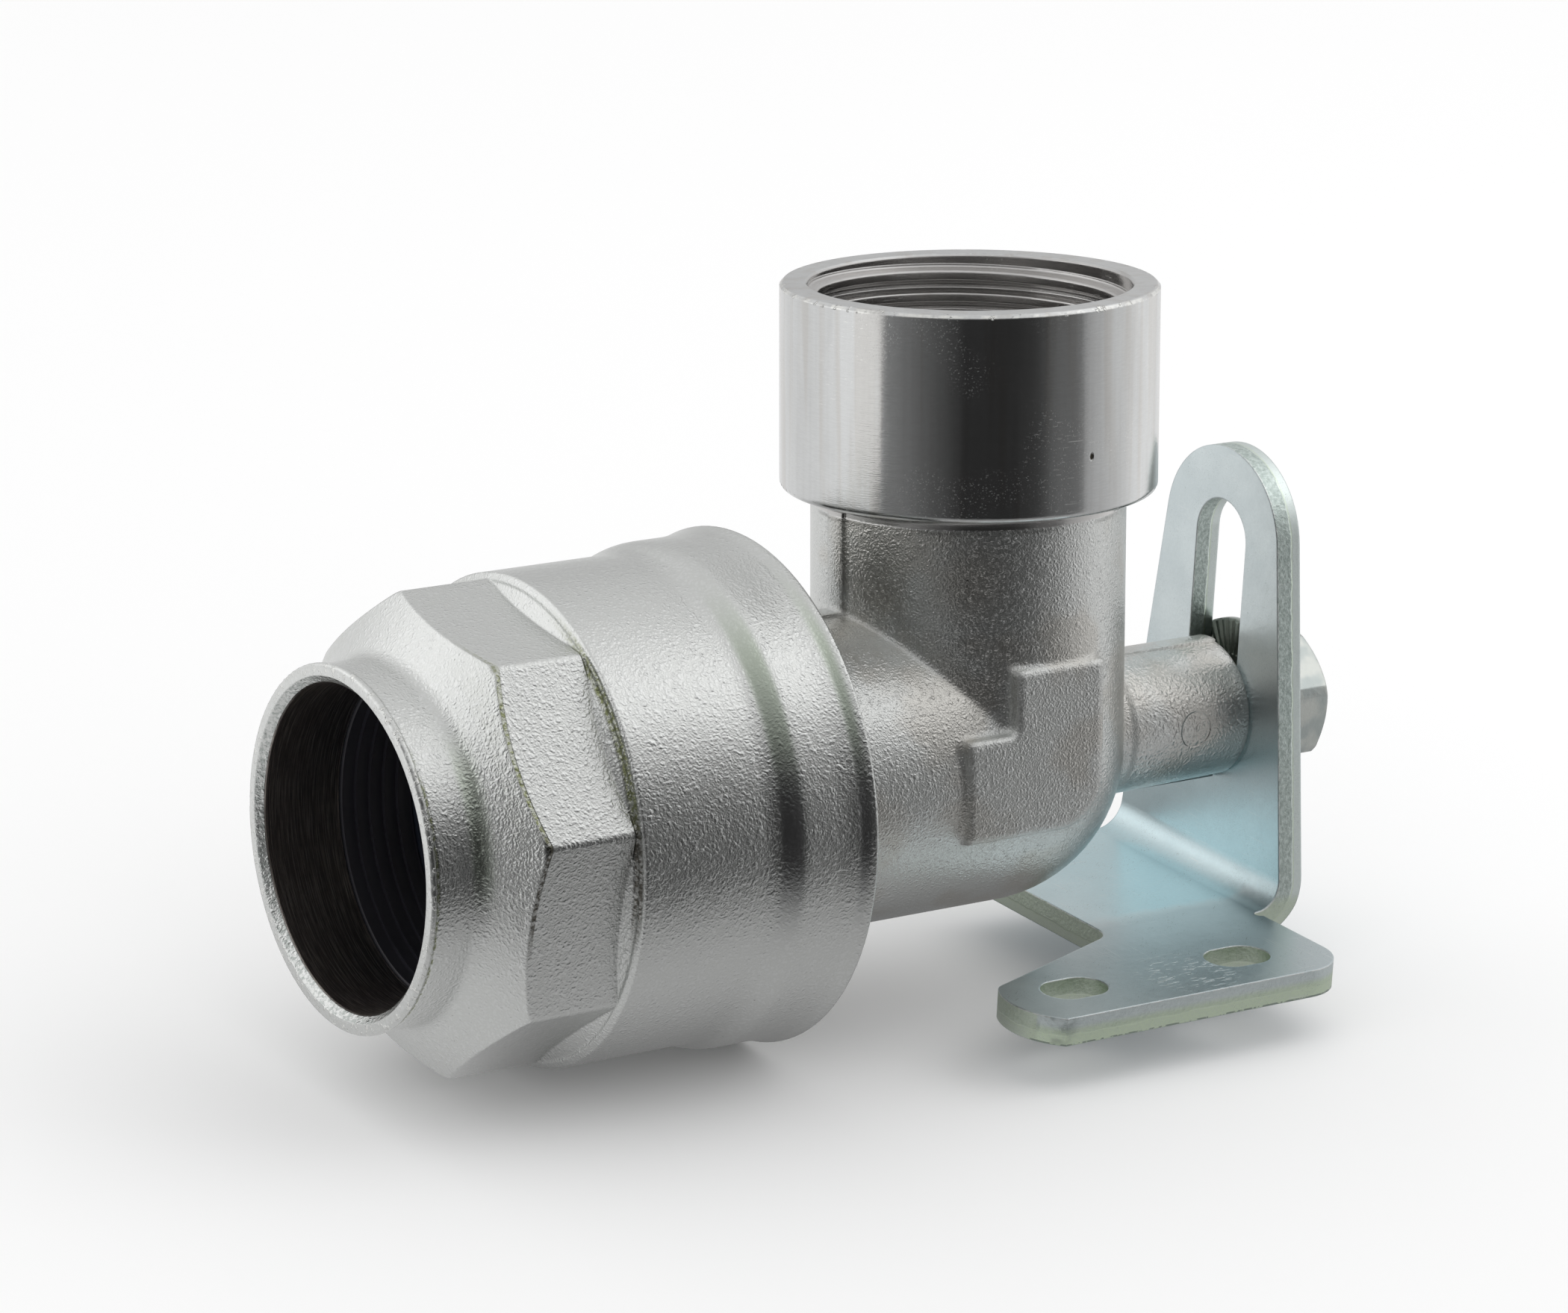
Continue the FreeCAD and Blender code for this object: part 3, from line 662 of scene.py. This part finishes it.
def turned_colour(tree, colour, point, on, marks):
    """Turned nickel over a colour: cloudy, painted reflection streaks, painted shade under the collar and in
    the bore.
    """
    cloud = noise(tree, stretched(tree, point, (0.30, 0.30, 0.07)), 1.0, 2.0, 0.5)
    # painted reflection: vertical streaks darken the socket, over a slow cloud that is the finish's own tone
    streaks = noise(tree, stretched(tree, point, (1.3, 1.3, 0.03)), 1.0, 2.0, 0.6)
    shade = total(tree, step(tree, cloud, 0.35, 0.7, 0.0, 0.16), step(tree, streaks, 0.40, 0.68, 0.0, 0.08))
    # painted reflection: brown facets along the turned socket
    brown_reflection_facets = product(tree, step(tree, marks.facets, 0.50, 0.62), on.smooth)
    colour = paint(tree, colour, on.smooth, TURNED_NICKEL)
    colour = paint(tree, colour, product(tree, shade, on.smooth), TURNED_DARK_TONE_AND_REFLECTION)
    colour = paint(tree, colour, brown_reflection_facets, BROWN_TONE_AND_REFLECTION_TINT, 0.45, "MULTIPLY")
    # painted shade: greenish darker nickel on the step under the collar
    colour = paint(tree, colour, on.under_collar, UNDER_COLLAR_SHADE_NICKEL)
    # painted shade: darker nickel in the bore
    return paint(tree, colour, product(tree, on.bore, on.smooth), BORE_NICKEL_SHADED)


def elbow_colour(tree, place, on, marks):
    """The elbow's two metals, painted shade under the collar, dirt round the stain, bright scuffs, nicks and
    burr.
    """
    point = place["Point"]
    near_stain = spot(tree, point, STAIN_AT_MM, 1.0, STAIN_SPECKS_R_MM)
    dirt = {"Point": point, "Size": 0.45, "Where": calc(tree, "MULTIPLY_ADD", near_stain, 0.42, 0.10)}
    broken = step(tree, noise(tree, point, 0.3), 0.35, 0.6)
    # painted shade: a broken dark brown line under the collar's step
    collar_shade_line = product(tree, band(tree, place["Height"], *COLLAR_SHADE_LINE_MM, 0.15), broken)
    brushed = product(tree, step(tree, marks.brushed, 0.35, 0.7), on.smooth)
    bright = largest(tree, marks.nicks, product(tree, marks.burr, 0.8))
    colour = turned_colour(tree, forging_colour(tree, point, marks), point, on, marks)
    colour = paint(tree, colour, collar_shade_line, DEEP_BROWN, 0.35)
    colour = paint(tree, colour, product(tree, use(tree, SPECKS, dirt)["Mask"], on.blasted), DEEP_BROWN)
    colour = paint(tree, colour, product(tree, marks.scuffs, on.smooth), BURR, 0.45)
    colour = paint(tree, colour, brushed, TURNED_DARK_TONE_AND_REFLECTION, 0.10)
    colour = paint(tree, colour, bright, BURR)
    return paint(tree, colour, marks.pit, DEEP_BROWN)


def elbow_metal():
    """Blasted nickel on the forging, turned nickel on the socket and in the bores."""
    material, tree, shader = new_material("elbow_nickel")
    place = use(tree, PLACE, {"Object point": object_point(tree)})
    on = elbow_surfaces(tree, place)
    marks = elbow_marks(tree, place, on)
    roughness = total(
        tree,
        between(tree, on.blasted, 0.11, 0.33),
        product(tree, marks.lines["Shade"], on.smooth, 0.08),
        product(tree, on.under_collar, 0.12))
    edge_r = between(tree, on.blasted, TURNED_EDGE_R, FORGED_EDGE_R)
    feed(tree, shader, elbow_colour(tree, place, on, marks), roughness, elbow_relief(tree, on, marks), edge_r)
    return material


def nut_surfaces(tree, place):
    """Masks of the nut's surfaces: inside, lip and bevel, tool grooves, the hollow neck, the S steps."""
    along, reach, rise = place["Along pipe"], place["From pipe axis"], place["Rise"]
    bore = product(tree, below(tree, reach, NUT_BORE_R_MM + 0.20, 0.10),
                   above(tree, along, NUT_MOUTH_MM + 0.75, 0.05))
    deep_inside = product(tree, below(tree, reach, NUT_INSIDE_R_MM, 0.1),
                          above(tree, along, NUT_INSIDE_FROM_MM, 0.15))
    inside = largest(tree, bore, deep_inside)
    past_neck = above(tree, reach, NECK_R_MM, 0.05)
    tool_side = band(tree, rise, *TOOL_SIDE, 0.12)
    cone_r = calc(tree, "MULTIPLY_ADD", along, CONE_SLOPE, FLATS_R_MM - CONE_SLOPE * FLATS_FRONT_MM)
    behind_cone = band(tree, calc(tree, "SUBTRACT", cone_r, reach), 0.05, 0.80, 0.10)
    s_steps = largest(tree, *[band(tree, along, start, end, 0.45) for start, end in S_STEPS_MM])
    return SimpleNamespace(
        inside=inside,
        outside=inverse(tree, inside),
        lip_face=product(tree, below(tree, along, LIP_END_MM - 0.125, 0.075),
                         above(tree, reach, LIP_INNER_R_MM + 0.025, 0.075)),
        bevel=product(tree, below(tree, reach, LIP_INNER_R_MM - 0.025, 0.075),
                      below(tree, along, NUT_MOUTH_MM + 0.80, 0.05)),
        front_groove=product(tree, behind_cone, tool_side, above(tree, reach, CONE_FROM_R_MM, 0.5)),
        runout=product(tree, band(tree, along, RUNOUT_MM - 0.22, RUNOUT_MM + 0.18, 0.10),
                       below(tree, reach, SKIRT_R_MM - 0.15, 0.10), tool_side),
        lip_step=product(tree, band(tree, along, LIP_END_MM - 0.15, LIP_END_MM + 0.25, 0.12),
                         below(tree, rise, 0.625, 0.175), past_neck),
        hollow=product(tree, band(tree, along, *HOLLOW_MM, 0.5), band(tree, rise, *HOLLOW_SIDE, 0.15),
                       past_neck),
        s_steps=product(tree, s_steps, above(tree, reach, S_STEPS_FROM_R_MM, 0.5)))


def nut_relief(tree, place, on, nicks):
    """The nut's height in mm: grain outside, lathe lines inside, and the grooves that the tools left."""
    point = place["Point"]
    grain = use(tree, GRAIN, {"Point": point, "Grain": NUT_GRAIN_MM, "Depth": NUT_GRAIN_DEPTH_MM})
    lines = {"Point": point, "Along": place["Along pipe"], "Lines per mm": 3.0, "Depth": 0.012}
    grain_share = product(tree, on.outside, between(tree, on.lip_face, 1.0, 0.12),
                          between(tree, on.s_steps, 1.0, 0.5))
    height = total(
        tree,
        product(tree, grain["Height"], grain_share),
        product(tree, use(tree, TURNED, lines)["Height"], on.inside),
        product(tree, on.front_groove, -0.10),
        product(tree, on.runout, -0.10),
        product(tree, on.lip_step, -0.06),
        product(tree, nicks, 0.05))
    return height, grain["Crest"]


def nut_outside_colour(tree, crest, place, on):
    """Nickel with painted shade in its creases, on the S steps and in the hollow, and mottled tarnish in the
    grooves.
    """
    point, rise = place["Point"], place["Rise"]
    mottled = step(tree, noise(tree, point, 2.2, 2.0, 0.6), 0.40, 0.62)
    grooves = product(tree, largest(tree, on.front_groove, on.runout), between(tree, mottled, 0.40, 0.95))
    # olive tarnish in the grooves, darker towards the bottom of the nut
    tarnish = blend_colour(tree, below(tree, rise, 0.21, 0.09), OLIVE_TARNISH, GROOVE_DARK_LOW)
    # painted shade on the S steps: a darker grey round most of the way, green towards the top
    green_steps = product(tree, on.s_steps, band(tree, rise, *GREEN_SIDE, 0.15))
    dark_steps = product(tree, on.s_steps, band(tree, rise, *DARK_SIDE, 0.20))
    colour = blend_colour(tree, crest, NICKEL_CREASE_SHADE, NICKEL)
    colour = paint(tree, colour, dark_steps, SMOOTH_SHADE, mode="MULTIPLY")
    colour = paint(tree, colour, green_steps, GREEN_SHADE_TINT, 0.9, "MULTIPLY")
    # painted shade: green-grey darkening in the hollow behind the lip
    colour = paint(tree, colour, on.hollow, GREEN_SHADE_TINT, 0.7, "MULTIPLY")
    colour = paint(tree, colour, grooves, tarnish)
    colour = paint(tree, colour, product(tree, on.lip_step, mottled), OLIVE_TARNISH, 0.9)
    return paint(tree, colour, product(tree, on.bevel, mottled), ZINC_DARK, 0.5)


def nut_colour(tree, crest, place, on, nicks):
    """The outside's colour, specked most underneath, bright nicks on the lip, and the bore in painted shade
    and sheen.
    """
    point = place["Point"]
    underneath = step(tree, place["Rise"], -0.35, -0.7)
    dirt = {"Point": point, "Size": 0.5, "Where": calc(tree, "MULTIPLY_ADD", underneath, 0.22, 0.10)}
    # painted shade and sheen: the bore dark, with light streaks round it
    streaks = noise(tree, stretched(tree, point, (8.0, 0.25, 0.25)), 1.0, 3.0, 0.6)
    bore_colour = blend_colour(tree, step(tree, streaks, 0.40, 0.72), NUT_BORE_SHADE, NUT_BORE_SHEEN)
    colour = nut_outside_colour(tree, crest, place, on)
    colour = paint(tree, colour, product(tree, use(tree, SPECKS, dirt)["Mask"], on.outside), DEEP_BROWN)
    colour = paint(tree, colour, nicks, BURR, 0.6)
    return paint(tree, colour, on.inside, bore_colour)


def nut_metal():
    """Blasted nickel outside, with olive tarnish where the tool left grooves, and a turned bore in painted
    shade and sheen.
    """
    material, tree, shader = new_material("nut_nickel")
    place = use(tree, PLACE, {"Object point": object_point(tree)})
    on = nut_surfaces(tree, place)
    nicks = product(tree, step(tree, noise(tree, place["Point"], 1.3, 3.0, 0.6), 0.55, 0.63), on.lip_face)
    relief, crest = nut_relief(tree, place, on, nicks)
    colour = nut_colour(tree, crest, place, on, nicks)
    feed(tree, shader, colour, between(tree, on.inside, 0.27, 0.30), relief, NUT_EDGE_R)
    return material


def sheet_depth(tree, x, z):
    """How deep in the bent sheet a point lies: 0 on the side towards the fitting, 1 on the wall side.

    It is measured from the bend's axis: sqrt(max(x - bend, 0)^2 + max(bend - z, 0)^2), less the inner radius.
    """
    past = calc(tree, "MAXIMUM", calc(tree, "SUBTRACT", x, BEND_X_MM), 0.0)
    under = calc(tree, "MAXIMUM", calc(tree, "SUBTRACT", BEND_Z_MM, z), 0.0)
    reach = calc(tree, "SQRT", calc(tree, "MULTIPLY_ADD", past, past, product(tree, under, under)))
    return calc(tree, "DIVIDE", calc(tree, "SUBTRACT", reach, BEND_R_MM), SHEET_MM)


def bracket_surfaces(tree, point):
    """The bracket's surfaces: a point's place and depth, and masks of the foot, its front and the cuts."""
    x, y, z = axes_of(tree, point)
    depth = sheet_depth(tree, x, z)
    uneven = noise(tree, point, 0.5, 2.0, 0.5)
    cut = band(tree, depth, 0.012, 0.988, 0.008)
    foot = below(tree, z, FOOT_TO_Z_MM, 0.65)
    torn = product(tree, cut, below(tree, calc(tree, "MULTIPLY_ADD", uneven, 0.2, depth), 0.71, 0.03))
    return SimpleNamespace(x=x, y=y, z=z, depth=depth, uneven=uneven, cut=cut, foot=foot, torn=torn,
                           front=product(tree, foot, below(tree, y, FOOT_FRONT_TO_Y_MM, 0.75)))


def stained_zinc(tree, on, cloud):
    """Cloudy zinc, stained cyan round the bend and slate across the foot, with a wavy line between."""
    wavy_y = calc(tree, "MULTIPLY_ADD", cloud, 7.0, on.y)
    cyan = product(tree, on.foot, above(tree, wavy_y, CYAN_FROM_Y_MM, 1.0), step(tree, on.x, -12.0, 15.0))
    low_upright = product(tree, step(tree, on.z, 30.0, 10.0), inverse(tree, on.foot))
    slate = product(tree, on.foot, below(tree, wavy_y, SLATE_TO_Y_MM, 1.25), step(tree, on.x, -16.0, 2.0))
    dull_zinc = blend_colour(tree, 0.35, ZINC, ZINC_SLATE)
    colour = blend_colour(tree, step(tree, cloud, 0.35, 0.65), ZINC, dull_zinc)
    colour = paint(tree, colour, cyan, ZINC_CYAN, 0.8)
    colour = paint(tree, colour, low_upright, ZINC_CYAN, 0.5)
    return paint(tree, colour, slate, ZINC_SLATE, 0.7)


def cut_edge_colour(tree, on, tears):
    """The punched edge: torn near the fitting, burnished near the wall, yellowish on the foot's front."""
    torn_metal = blend_colour(tree, step(tree, tears, 0.30, 0.75), ZINC_TORN, ZINC_EDGE)
    front_metal = blend_colour(tree, step(tree, on.depth, 0.25, 0.55), ZINC, ZINC_YELLOW)
    burnished = blend_colour(tree, on.front, ZINC_BURNISHED, front_metal)
    torn = product(tree, on.torn, between(tree, on.front, 1.0, 0.15))
    return blend_colour(tree, torn, burnished, torn_metal)


def edged_zinc(tree, colour, point, on, tears):
    """A colour with the punched edges, their burr, a partly painted highlight on them, coloured lines, and a
    stained corner.
    """
    yellow_line = product(tree, band(tree, on.depth, 0.62, 0.68, 0.03), on.cut)
    slot_walls = product(tree, on.cut, on.foot, above(tree, on.y, SLOTS_FROM_Y_MM, 0.2))
    broken = step(tree, noise(tree, point, 1.1, 2.0, 0.6), 0.40, 0.50)
    # partly burr, partly painted highlight: a bright broken line along the cut edges on the fitting's side
    burr_and_highlight_rim = product(tree, band(tree, on.depth, -0.02, 0.05, 0.02), on.cut, broken)
    dark_rim = product(tree, band(tree, on.depth, 0.93, 0.985, 0.012), on.cut, broken, on.front)
    corner = product(tree, spot(tree, point, CORNER_STAIN_AT_MM, *CORNER_STAIN_R_MM), on.cut,
                     step(tree, on.uneven, 0.40, 0.55))
    colour = paint(tree, colour, on.cut, cut_edge_colour(tree, on, tears))
    colour = paint(tree, colour, yellow_line, ZINC_YELLOW, 0.6)
    colour = paint(tree, colour, slot_walls, ZINC_OLIVE, 0.75)
    colour = paint(tree, colour, burr_and_highlight_rim, ZINC_WEAR_AND_HIGHLIGHT, 0.9)
    colour = paint(tree, colour, dark_rim, ZINC_DARK, 0.8)
    return paint(tree, colour, corner, ZINC_DARK, 0.5)


def handled_zinc(tree, colour, point, scuffed):
    """A colour with what handling leaves: scuffs, bright hairlines, dark specks and ticks, a fine mottle."""
    hairlines = use(tree, HAIRLINES, {"Point": point, "Size": 0.9, "Amount": 0.8})["Mask"]
    short_way = stretched(tree, point, (1.7, 1.7, 1.7), (0.4, 0.2, 0.9))
    ticks = use(tree, HAIRLINES, {"Point": short_way, "Size": 1.0, "Amount": 1.0})["Mask"]
    specks = use(tree, SPECKS, {"Point": point, "Size": 0.55, "Where": 0.30})["Mask"]
    mottle = step(tree, noise(tree, point, 3.0, 2.0, 0.6), 0.35, 0.65)
    colour = paint(tree, colour, scuffed, ZINC_WEAR_AND_HIGHLIGHT, 0.8)
    colour = paint(tree, colour, hairlines, ZINC_WEAR_AND_HIGHLIGHT, 0.5)
    colour = paint(tree, colour, specks, ZINC_DARK, 0.35)
    colour = paint(tree, colour, ticks, ZINC_DARK, 0.5)
    return paint(tree, colour, mottle, ZINC_SLATE, 0.12)


def bracket_metal():
    """Zinc-plated sheet: cloudy blue-grey faces, and punched edges, part torn and part burnished."""
    material, tree, shader = new_material("bracket_zinc")
    point = point_in_mm(tree)
    on = bracket_surfaces(tree, point)
    cloud = noise(tree, point, 0.11, 3.0, 0.55)
    skin = noise(tree, point, 1.3, 3.0, 0.6)
    tears = noise(tree, point, 2.4, 3.0, 0.6)
    rubbed = noise(tree, stretched(tree, point, (0.5, 2.6, 1.0), (0, 0, 0.5)), 1.2, 2.0, 0.6)
    scuffed = product(tree, spot(tree, point, SCUFF_AT_MM, *SCUFF_R_MM), step(tree, rubbed, 0.57, 0.66))
    colour = edged_zinc(tree, stained_zinc(tree, on, cloud), point, on, tears)
    colour = handled_zinc(tree, colour, point, scuffed)
    roughness = total(tree, calc(tree, "MULTIPLY_ADD", skin, 0.12, 0.26), product(tree, on.torn, 0.1))
    relief = total(
        tree,
        product(tree, skin, 0.016),
        product(tree, cloud, 0.06),
        product(tree, tears, on.torn, 0.07),
        product(tree, scuffed, 0.02))
    feed(tree, shader, colour, roughness, relief, SHEET_EDGE_R)
    return material


def bolt_metal():
    """Dull zinc on the bolt: grey on the head, dark green in the ratchet teeth of its flange."""
    material, tree, shader = new_material("bolt_zinc")
    point = point_in_mm(tree)
    skin = noise(tree, point, 1.6, 3.0, 0.6)
    cloud = noise(tree, point, 0.35, 2.0, 0.5)
    teeth = below(tree, axes_of(tree, point)[0], TEETH_TO_X_MM, 0.3)
    specks = use(tree, SPECKS, {"Point": point, "Size": 0.6, "Where": 0.30})["Mask"]
    colour = blend_colour(tree, step(tree, cloud, 0.4, 0.65), BOLT_ZINC, BOLT_SLATE)
    colour = paint(tree, colour, teeth, BOLT_GREEN, 0.8)
    colour = paint(tree, colour, specks, BOLT_GREEN, 0.7)
    roughness = calc(tree, "MULTIPLY_ADD", skin, 0.15, 0.34)
    feed(tree, shader, colour, roughness, product(tree, skin, 0.05), BOLT_EDGE_R)
    return material


def ring_plastic(name, blacks, least_roughness):
    """Moulded plastic or rubber: nearly black, a fine matt grain, and a slow change of gloss."""
    material, tree, shader = new_material(name, metallic=0.0)
    point = point_in_mm(tree)
    cloud = noise(tree, point, 0.3, 2.0, 0.5)
    grain = noise(tree, point, 4.0, 2.0, 0.5)
    roughness = calc(tree, "MULTIPLY_ADD", cloud, 0.15, least_roughness)
    feed(tree, shader, blend_colour(tree, cloud, *blacks), roughness, product(tree, grain, 0.008))
    return material


def dress(piece, material):
    """Gives a piece this material alone."""
    piece.data.materials.clear()
    piece.data.materials.append(material)


elbow_nickel = elbow_metal()
dress(nodes["elbow_body"], elbow_nickel)
dress(nodes["clamp_nut"], nut_metal())
dress(nodes["wall_bracket"], bracket_metal())
dress(nodes["flange_bolt"], bolt_metal())
dress(nodes["grip_ring"], ring_plastic("grip_black", GRIP_BLACKS, 0.35))
dress(nodes["pressure_ring"], ring_plastic("pressure_black", PRESSURE_BLACKS, 0.3))
dress(nodes["seal_ring"], ring_plastic("seal_black", SEAL_BLACKS, 0.5))

thread = thread_ridge()
dress(thread, elbow_nickel)
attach(thread, "fitting")


# studio

FLOOR_HALF = 3
FLOOR_WHITE = (0.95, 0.95, 0.95, 1)

# the tent: its radius, its lift off the floor, the height that elevations are taken from, and its grid
TENT_R = 0.28
TENT_LIFT = 0.0006
TENT_EYE = 0.035
TENT_AZIMUTHS = np.concatenate([np.linspace(-180, -88, 47), np.linspace(-86, 178, 133)])
TENT_DISC = np.linspace(0.0005, TENT_R, 80)[:-1]
TENT_CLIMBS_DEG = np.linspace(0, 89, 60)

# the brightness of its wall by azimuth in degrees, dim in front, and that of its ceiling and floor
WALL_LEVELS = (
    (-180, 0.70), (-150, 0.80), (-126, 0.92), (-110, 1.0), (-88, 1.02), (-86, 0.24), (-70, 0.17), (-54, 0.10),
    (-38, 0.03), (-8, 0.03), (6, 0.05), (18, 0.15), (34, 0.17), (39, 0.47), (50, 0.56), (66, 0.76), (90, 1.0),
    (105, 0.95), (125, 0.72), (145, 0.58), (165, 0.60), (180, 0.70))
CEILING_LEVEL = 0.74
CEILING_DEG = (12, 57)
OPEN_FLOOR_LEVEL = 0.86
OPEN_FLOOR_DEG = (92, 108)
HORIZON_DEG = (-6, 8)

# two soft glows on it: where each centre lies, its level and its spread
KEY_TOWARD_DEG, KEY_LEVEL, KEY_SPREAD_DEG = (70, 52), 0.43, 25
SIDE_TOWARD_DEG, SIDE_LEVEL, SIDE_SPREAD_DEG = (-132, 20), 0.38, 27
SIDE_RISES_DEG = (-2, 8)

# the object's shade on the tent's floor: its level in front, behind, close by and at the left, and where
FRONT_SHADE_LEVEL = 0.46
BACK_SHADE_LEVEL = 0.30
CONTACT_SHADE_LEVEL = 0.20
LEFT_SHADE_LEVEL = 0.62
OBJECT_X = (-0.068, 0.012)
SHADE_REACH = (0.025, 0.115)
CONTACT_REACH = (0.004, 0.028)
BACK_SHADE_Y = (0.02, 0.05)
LEFT_SHADE_X = (0.060, 0.080)
LEFT_SHADE_Y = (-0.03, 0.01)

# the softbox: its place, what it faces, its width and its power
KEY_LAMP_AT = (0.45, -0.22, 0.60)
KEY_LAMP_AIM = (0, 0.02, 0.03)
KEY_LAMP_SIZE = 0.5
KEY_LAMP_POWER = 0.6


def studio_floor():
    """A pale floor, well past what the camera sees."""
    corners = [(x * FLOOR_HALF, y * FLOOR_HALF, FLOOR_Z) for x, y in ((-1, -1), (1, -1), (1, 1), (-1, 1))]
    floor = make_piece("floor", np.array(corners), np.array([[0, 1, 2, 3]]))
    material, _, shader = new_material("floor_white", metallic=0.0)
    shader.inputs["Base Color"].default_value = FLOOR_WHITE
    shader.inputs["Roughness"].default_value = 0.9
    shader.inputs["Specular IOR Level"].default_value = 0.1
    dress(floor, material)


def tent_grid():
    """The tent's rows, as reach and rise from the floor's middle: a disc that turns up into a half sphere."""
    climb = np.radians(TENT_CLIMBS_DEG)
    reach = np.concatenate([TENT_DISC, TENT_R * np.cos(climb)])
    rise = TENT_LIFT + np.concatenate([np.zeros(TENT_DISC.size), TENT_R * np.sin(climb)])
    return reach, rise


def swept_round(reach, rise):
    """Points swept round the outlet's axis, from azimuth 0 toward -Y to 90 toward +X."""
    turn = np.radians(TENT_AZIMUTHS)[None, :]
    x = FITTING_AT[0] + reach[:, None] * np.sin(turn)
    y = FITTING_AT[1] - reach[:, None] * np.cos(turn)
    return np.stack([x, y, FLOOR_Z + rise[:, None] + 0 * turn], -1)


def toward(level, goal, share):
    """A level moved toward a goal by a share of the way."""
    return level + (goal - level) * share


def glow_toward(azimuth, elevation, centre_deg, spread):
    """A round soft glow: exp(-(angle / spread)^2), where the angle is in degrees from its centre."""
    turn, climb = np.radians(azimuth - centre_deg[0]), np.radians(elevation)
    centre = math.radians(centre_deg[1])
    cosine = np.sin(climb) * math.sin(centre) + np.cos(climb) * math.cos(centre) * np.cos(turn)
    return np.exp(-(np.degrees(np.arccos(np.clip(cosine, -1, 1))) / spread) ** 2)


def tent_glow(reach, rise):
    """The tent's brightness: the wall's by azimuth, fading to the floor's and ceiling's, plus two glows."""
    azimuth = TENT_AZIMUTHS
    elevation = np.degrees(np.arctan2(rise - TENT_EYE, reach))[:, None]
    wall = np.interp(azimuth, *np.transpose(WALL_LEVELS))[None, :]
    away = smooth_step(np.abs(azimuth), *OPEN_FLOOR_DEG)[None, :]
    floor = toward(wall, np.maximum(wall, OPEN_FLOOR_LEVEL), away)
    level = toward(floor, wall, smooth_step(elevation, *HORIZON_DEG))
    level = toward(level, CEILING_LEVEL, smooth_step(elevation, *CEILING_DEG))
    key = glow_toward(azimuth, elevation, KEY_TOWARD_DEG, KEY_SPREAD_DEG)
    side = glow_toward(azimuth, elevation, SIDE_TOWARD_DEG, SIDE_SPREAD_DEG)
    return level + KEY_LEVEL * key + SIDE_LEVEL * side * smooth_step(elevation, *SIDE_RISES_DEG)


def own_shade(x, y):
    """The object's shade on the tent's floor: its level, and how far a point lies from where it stands."""
    beside = np.hypot(x - np.clip(x, *OBJECT_X), y - FITTING_AT[1])
    shade = toward(FRONT_SHADE_LEVEL, BACK_SHADE_LEVEL, smooth_step(y, *BACK_SHADE_Y))
    shade = toward(shade, CONTACT_SHADE_LEVEL, 1 - smooth_step(beside, *CONTACT_REACH))
    shade = toward(shade, LEFT_SHADE_LEVEL, smooth_step(-x, *LEFT_SHADE_X) * smooth_step(y, *LEFT_SHADE_Y))
    return shade, beside


def tent_cloth():
    """A cloth that glows by the level stored on its points."""
    material = bpy.data.materials.new("tent_cloth")
    material.use_nodes = True
    tree = material.node_tree
    tree.nodes.clear()
    stored = put(tree, "ShaderNodeAttribute", attribute_name="level")
    glow = put(tree, "ShaderNodeEmission", {"Color": (1, 1, 1, 1), "Strength": stored.outputs["Fac"]})
    put(tree, "ShaderNodeOutputMaterial", {"Surface": glow.outputs[0]})
    material.cycles.emission_sampling = "NONE"
    return material


def studio_tent():
    """A white tent round the object, seen only in its reflections, darker where the object shades it."""
    reach, rise = tent_grid()
    points = swept_round(reach, rise)
    shade, beside = own_shade(points[..., 0], points[..., 1])
    on_disc = (np.arange(rise.size) <= TENT_DISC.size)[:, None]
    level = toward(tent_glow(reach, rise), shade, (1 - smooth_step(beside, *SHADE_REACH)) * on_disc)
    tent = make_piece("tent", points.reshape(-1, 3), grid_faces(reach.size, TENT_AZIMUTHS.size))
    stored = tent.data.attributes.new("level", "FLOAT", "POINT")
    stored.data.foreach_set("value", level.ravel().astype(np.float32))
    dress(tent, tent_cloth())
    tent.visible_camera = False
    tent.visible_diffuse = False
    tent.visible_shadow = False
    tent.visible_transmission = False


def softbox():
    """One square area lamp, the key light."""
    data = bpy.data.lights.new("key_lamp", "AREA")
    data.size = KEY_LAMP_SIZE
    data.energy = KEY_LAMP_POWER
    lamp = bpy.data.objects.new("key_lamp", data)
    bpy.context.scene.collection.objects.link(lamp)
    lamp.location = KEY_LAMP_AT
    lamp.rotation_mode = "QUATERNION"
    lamp.rotation_quaternion = (Vector(KEY_LAMP_AIM) - Vector(KEY_LAMP_AT)).to_track_quat("-Z", "Y")


def white_world():
    """An even white all round."""
    world = bpy.data.worlds.new("studio_world")
    bpy.context.scene.world = world
    world.use_nodes = True
    world.node_tree.nodes.clear()
    sky = put(world.node_tree, "ShaderNodeBackground", {"Color": (1, 1, 1, 1), "Strength": 1.0})
    put(world.node_tree, "ShaderNodeOutputWorld", {"Surface": sky.outputs[0]})


def photo_camera():
    """The camera at the photograph's place and angle: rolled, tilted, then turned about Z."""
    data = bpy.data.cameras.new("camera")
    data.sensor_width = SENSOR_WIDTH
    data.lens = LENS
    data.clip_start = 0.01
    data.clip_end = 20
    camera = bpy.data.objects.new("camera", data)
    bpy.context.scene.collection.objects.link(camera)
    turn, tilt, roll = [
        Matrix.Rotation(math.radians(angle), 4, axis)
        for angle, axis in ((CAMERA_TURN_DEG, "Z"), (CAMERA_TILT_DEG, "X"), (CAMERA_ROLL_DEG, "Z"))]
    camera.matrix_world = Matrix.Translation(CAMERA_AT) @ turn @ tilt @ roll
    bpy.context.scene.camera = camera


white_world()
studio_floor()
studio_tent()
softbox()
photo_camera()
bpy.context.scene.view_settings.view_transform = "Standard"
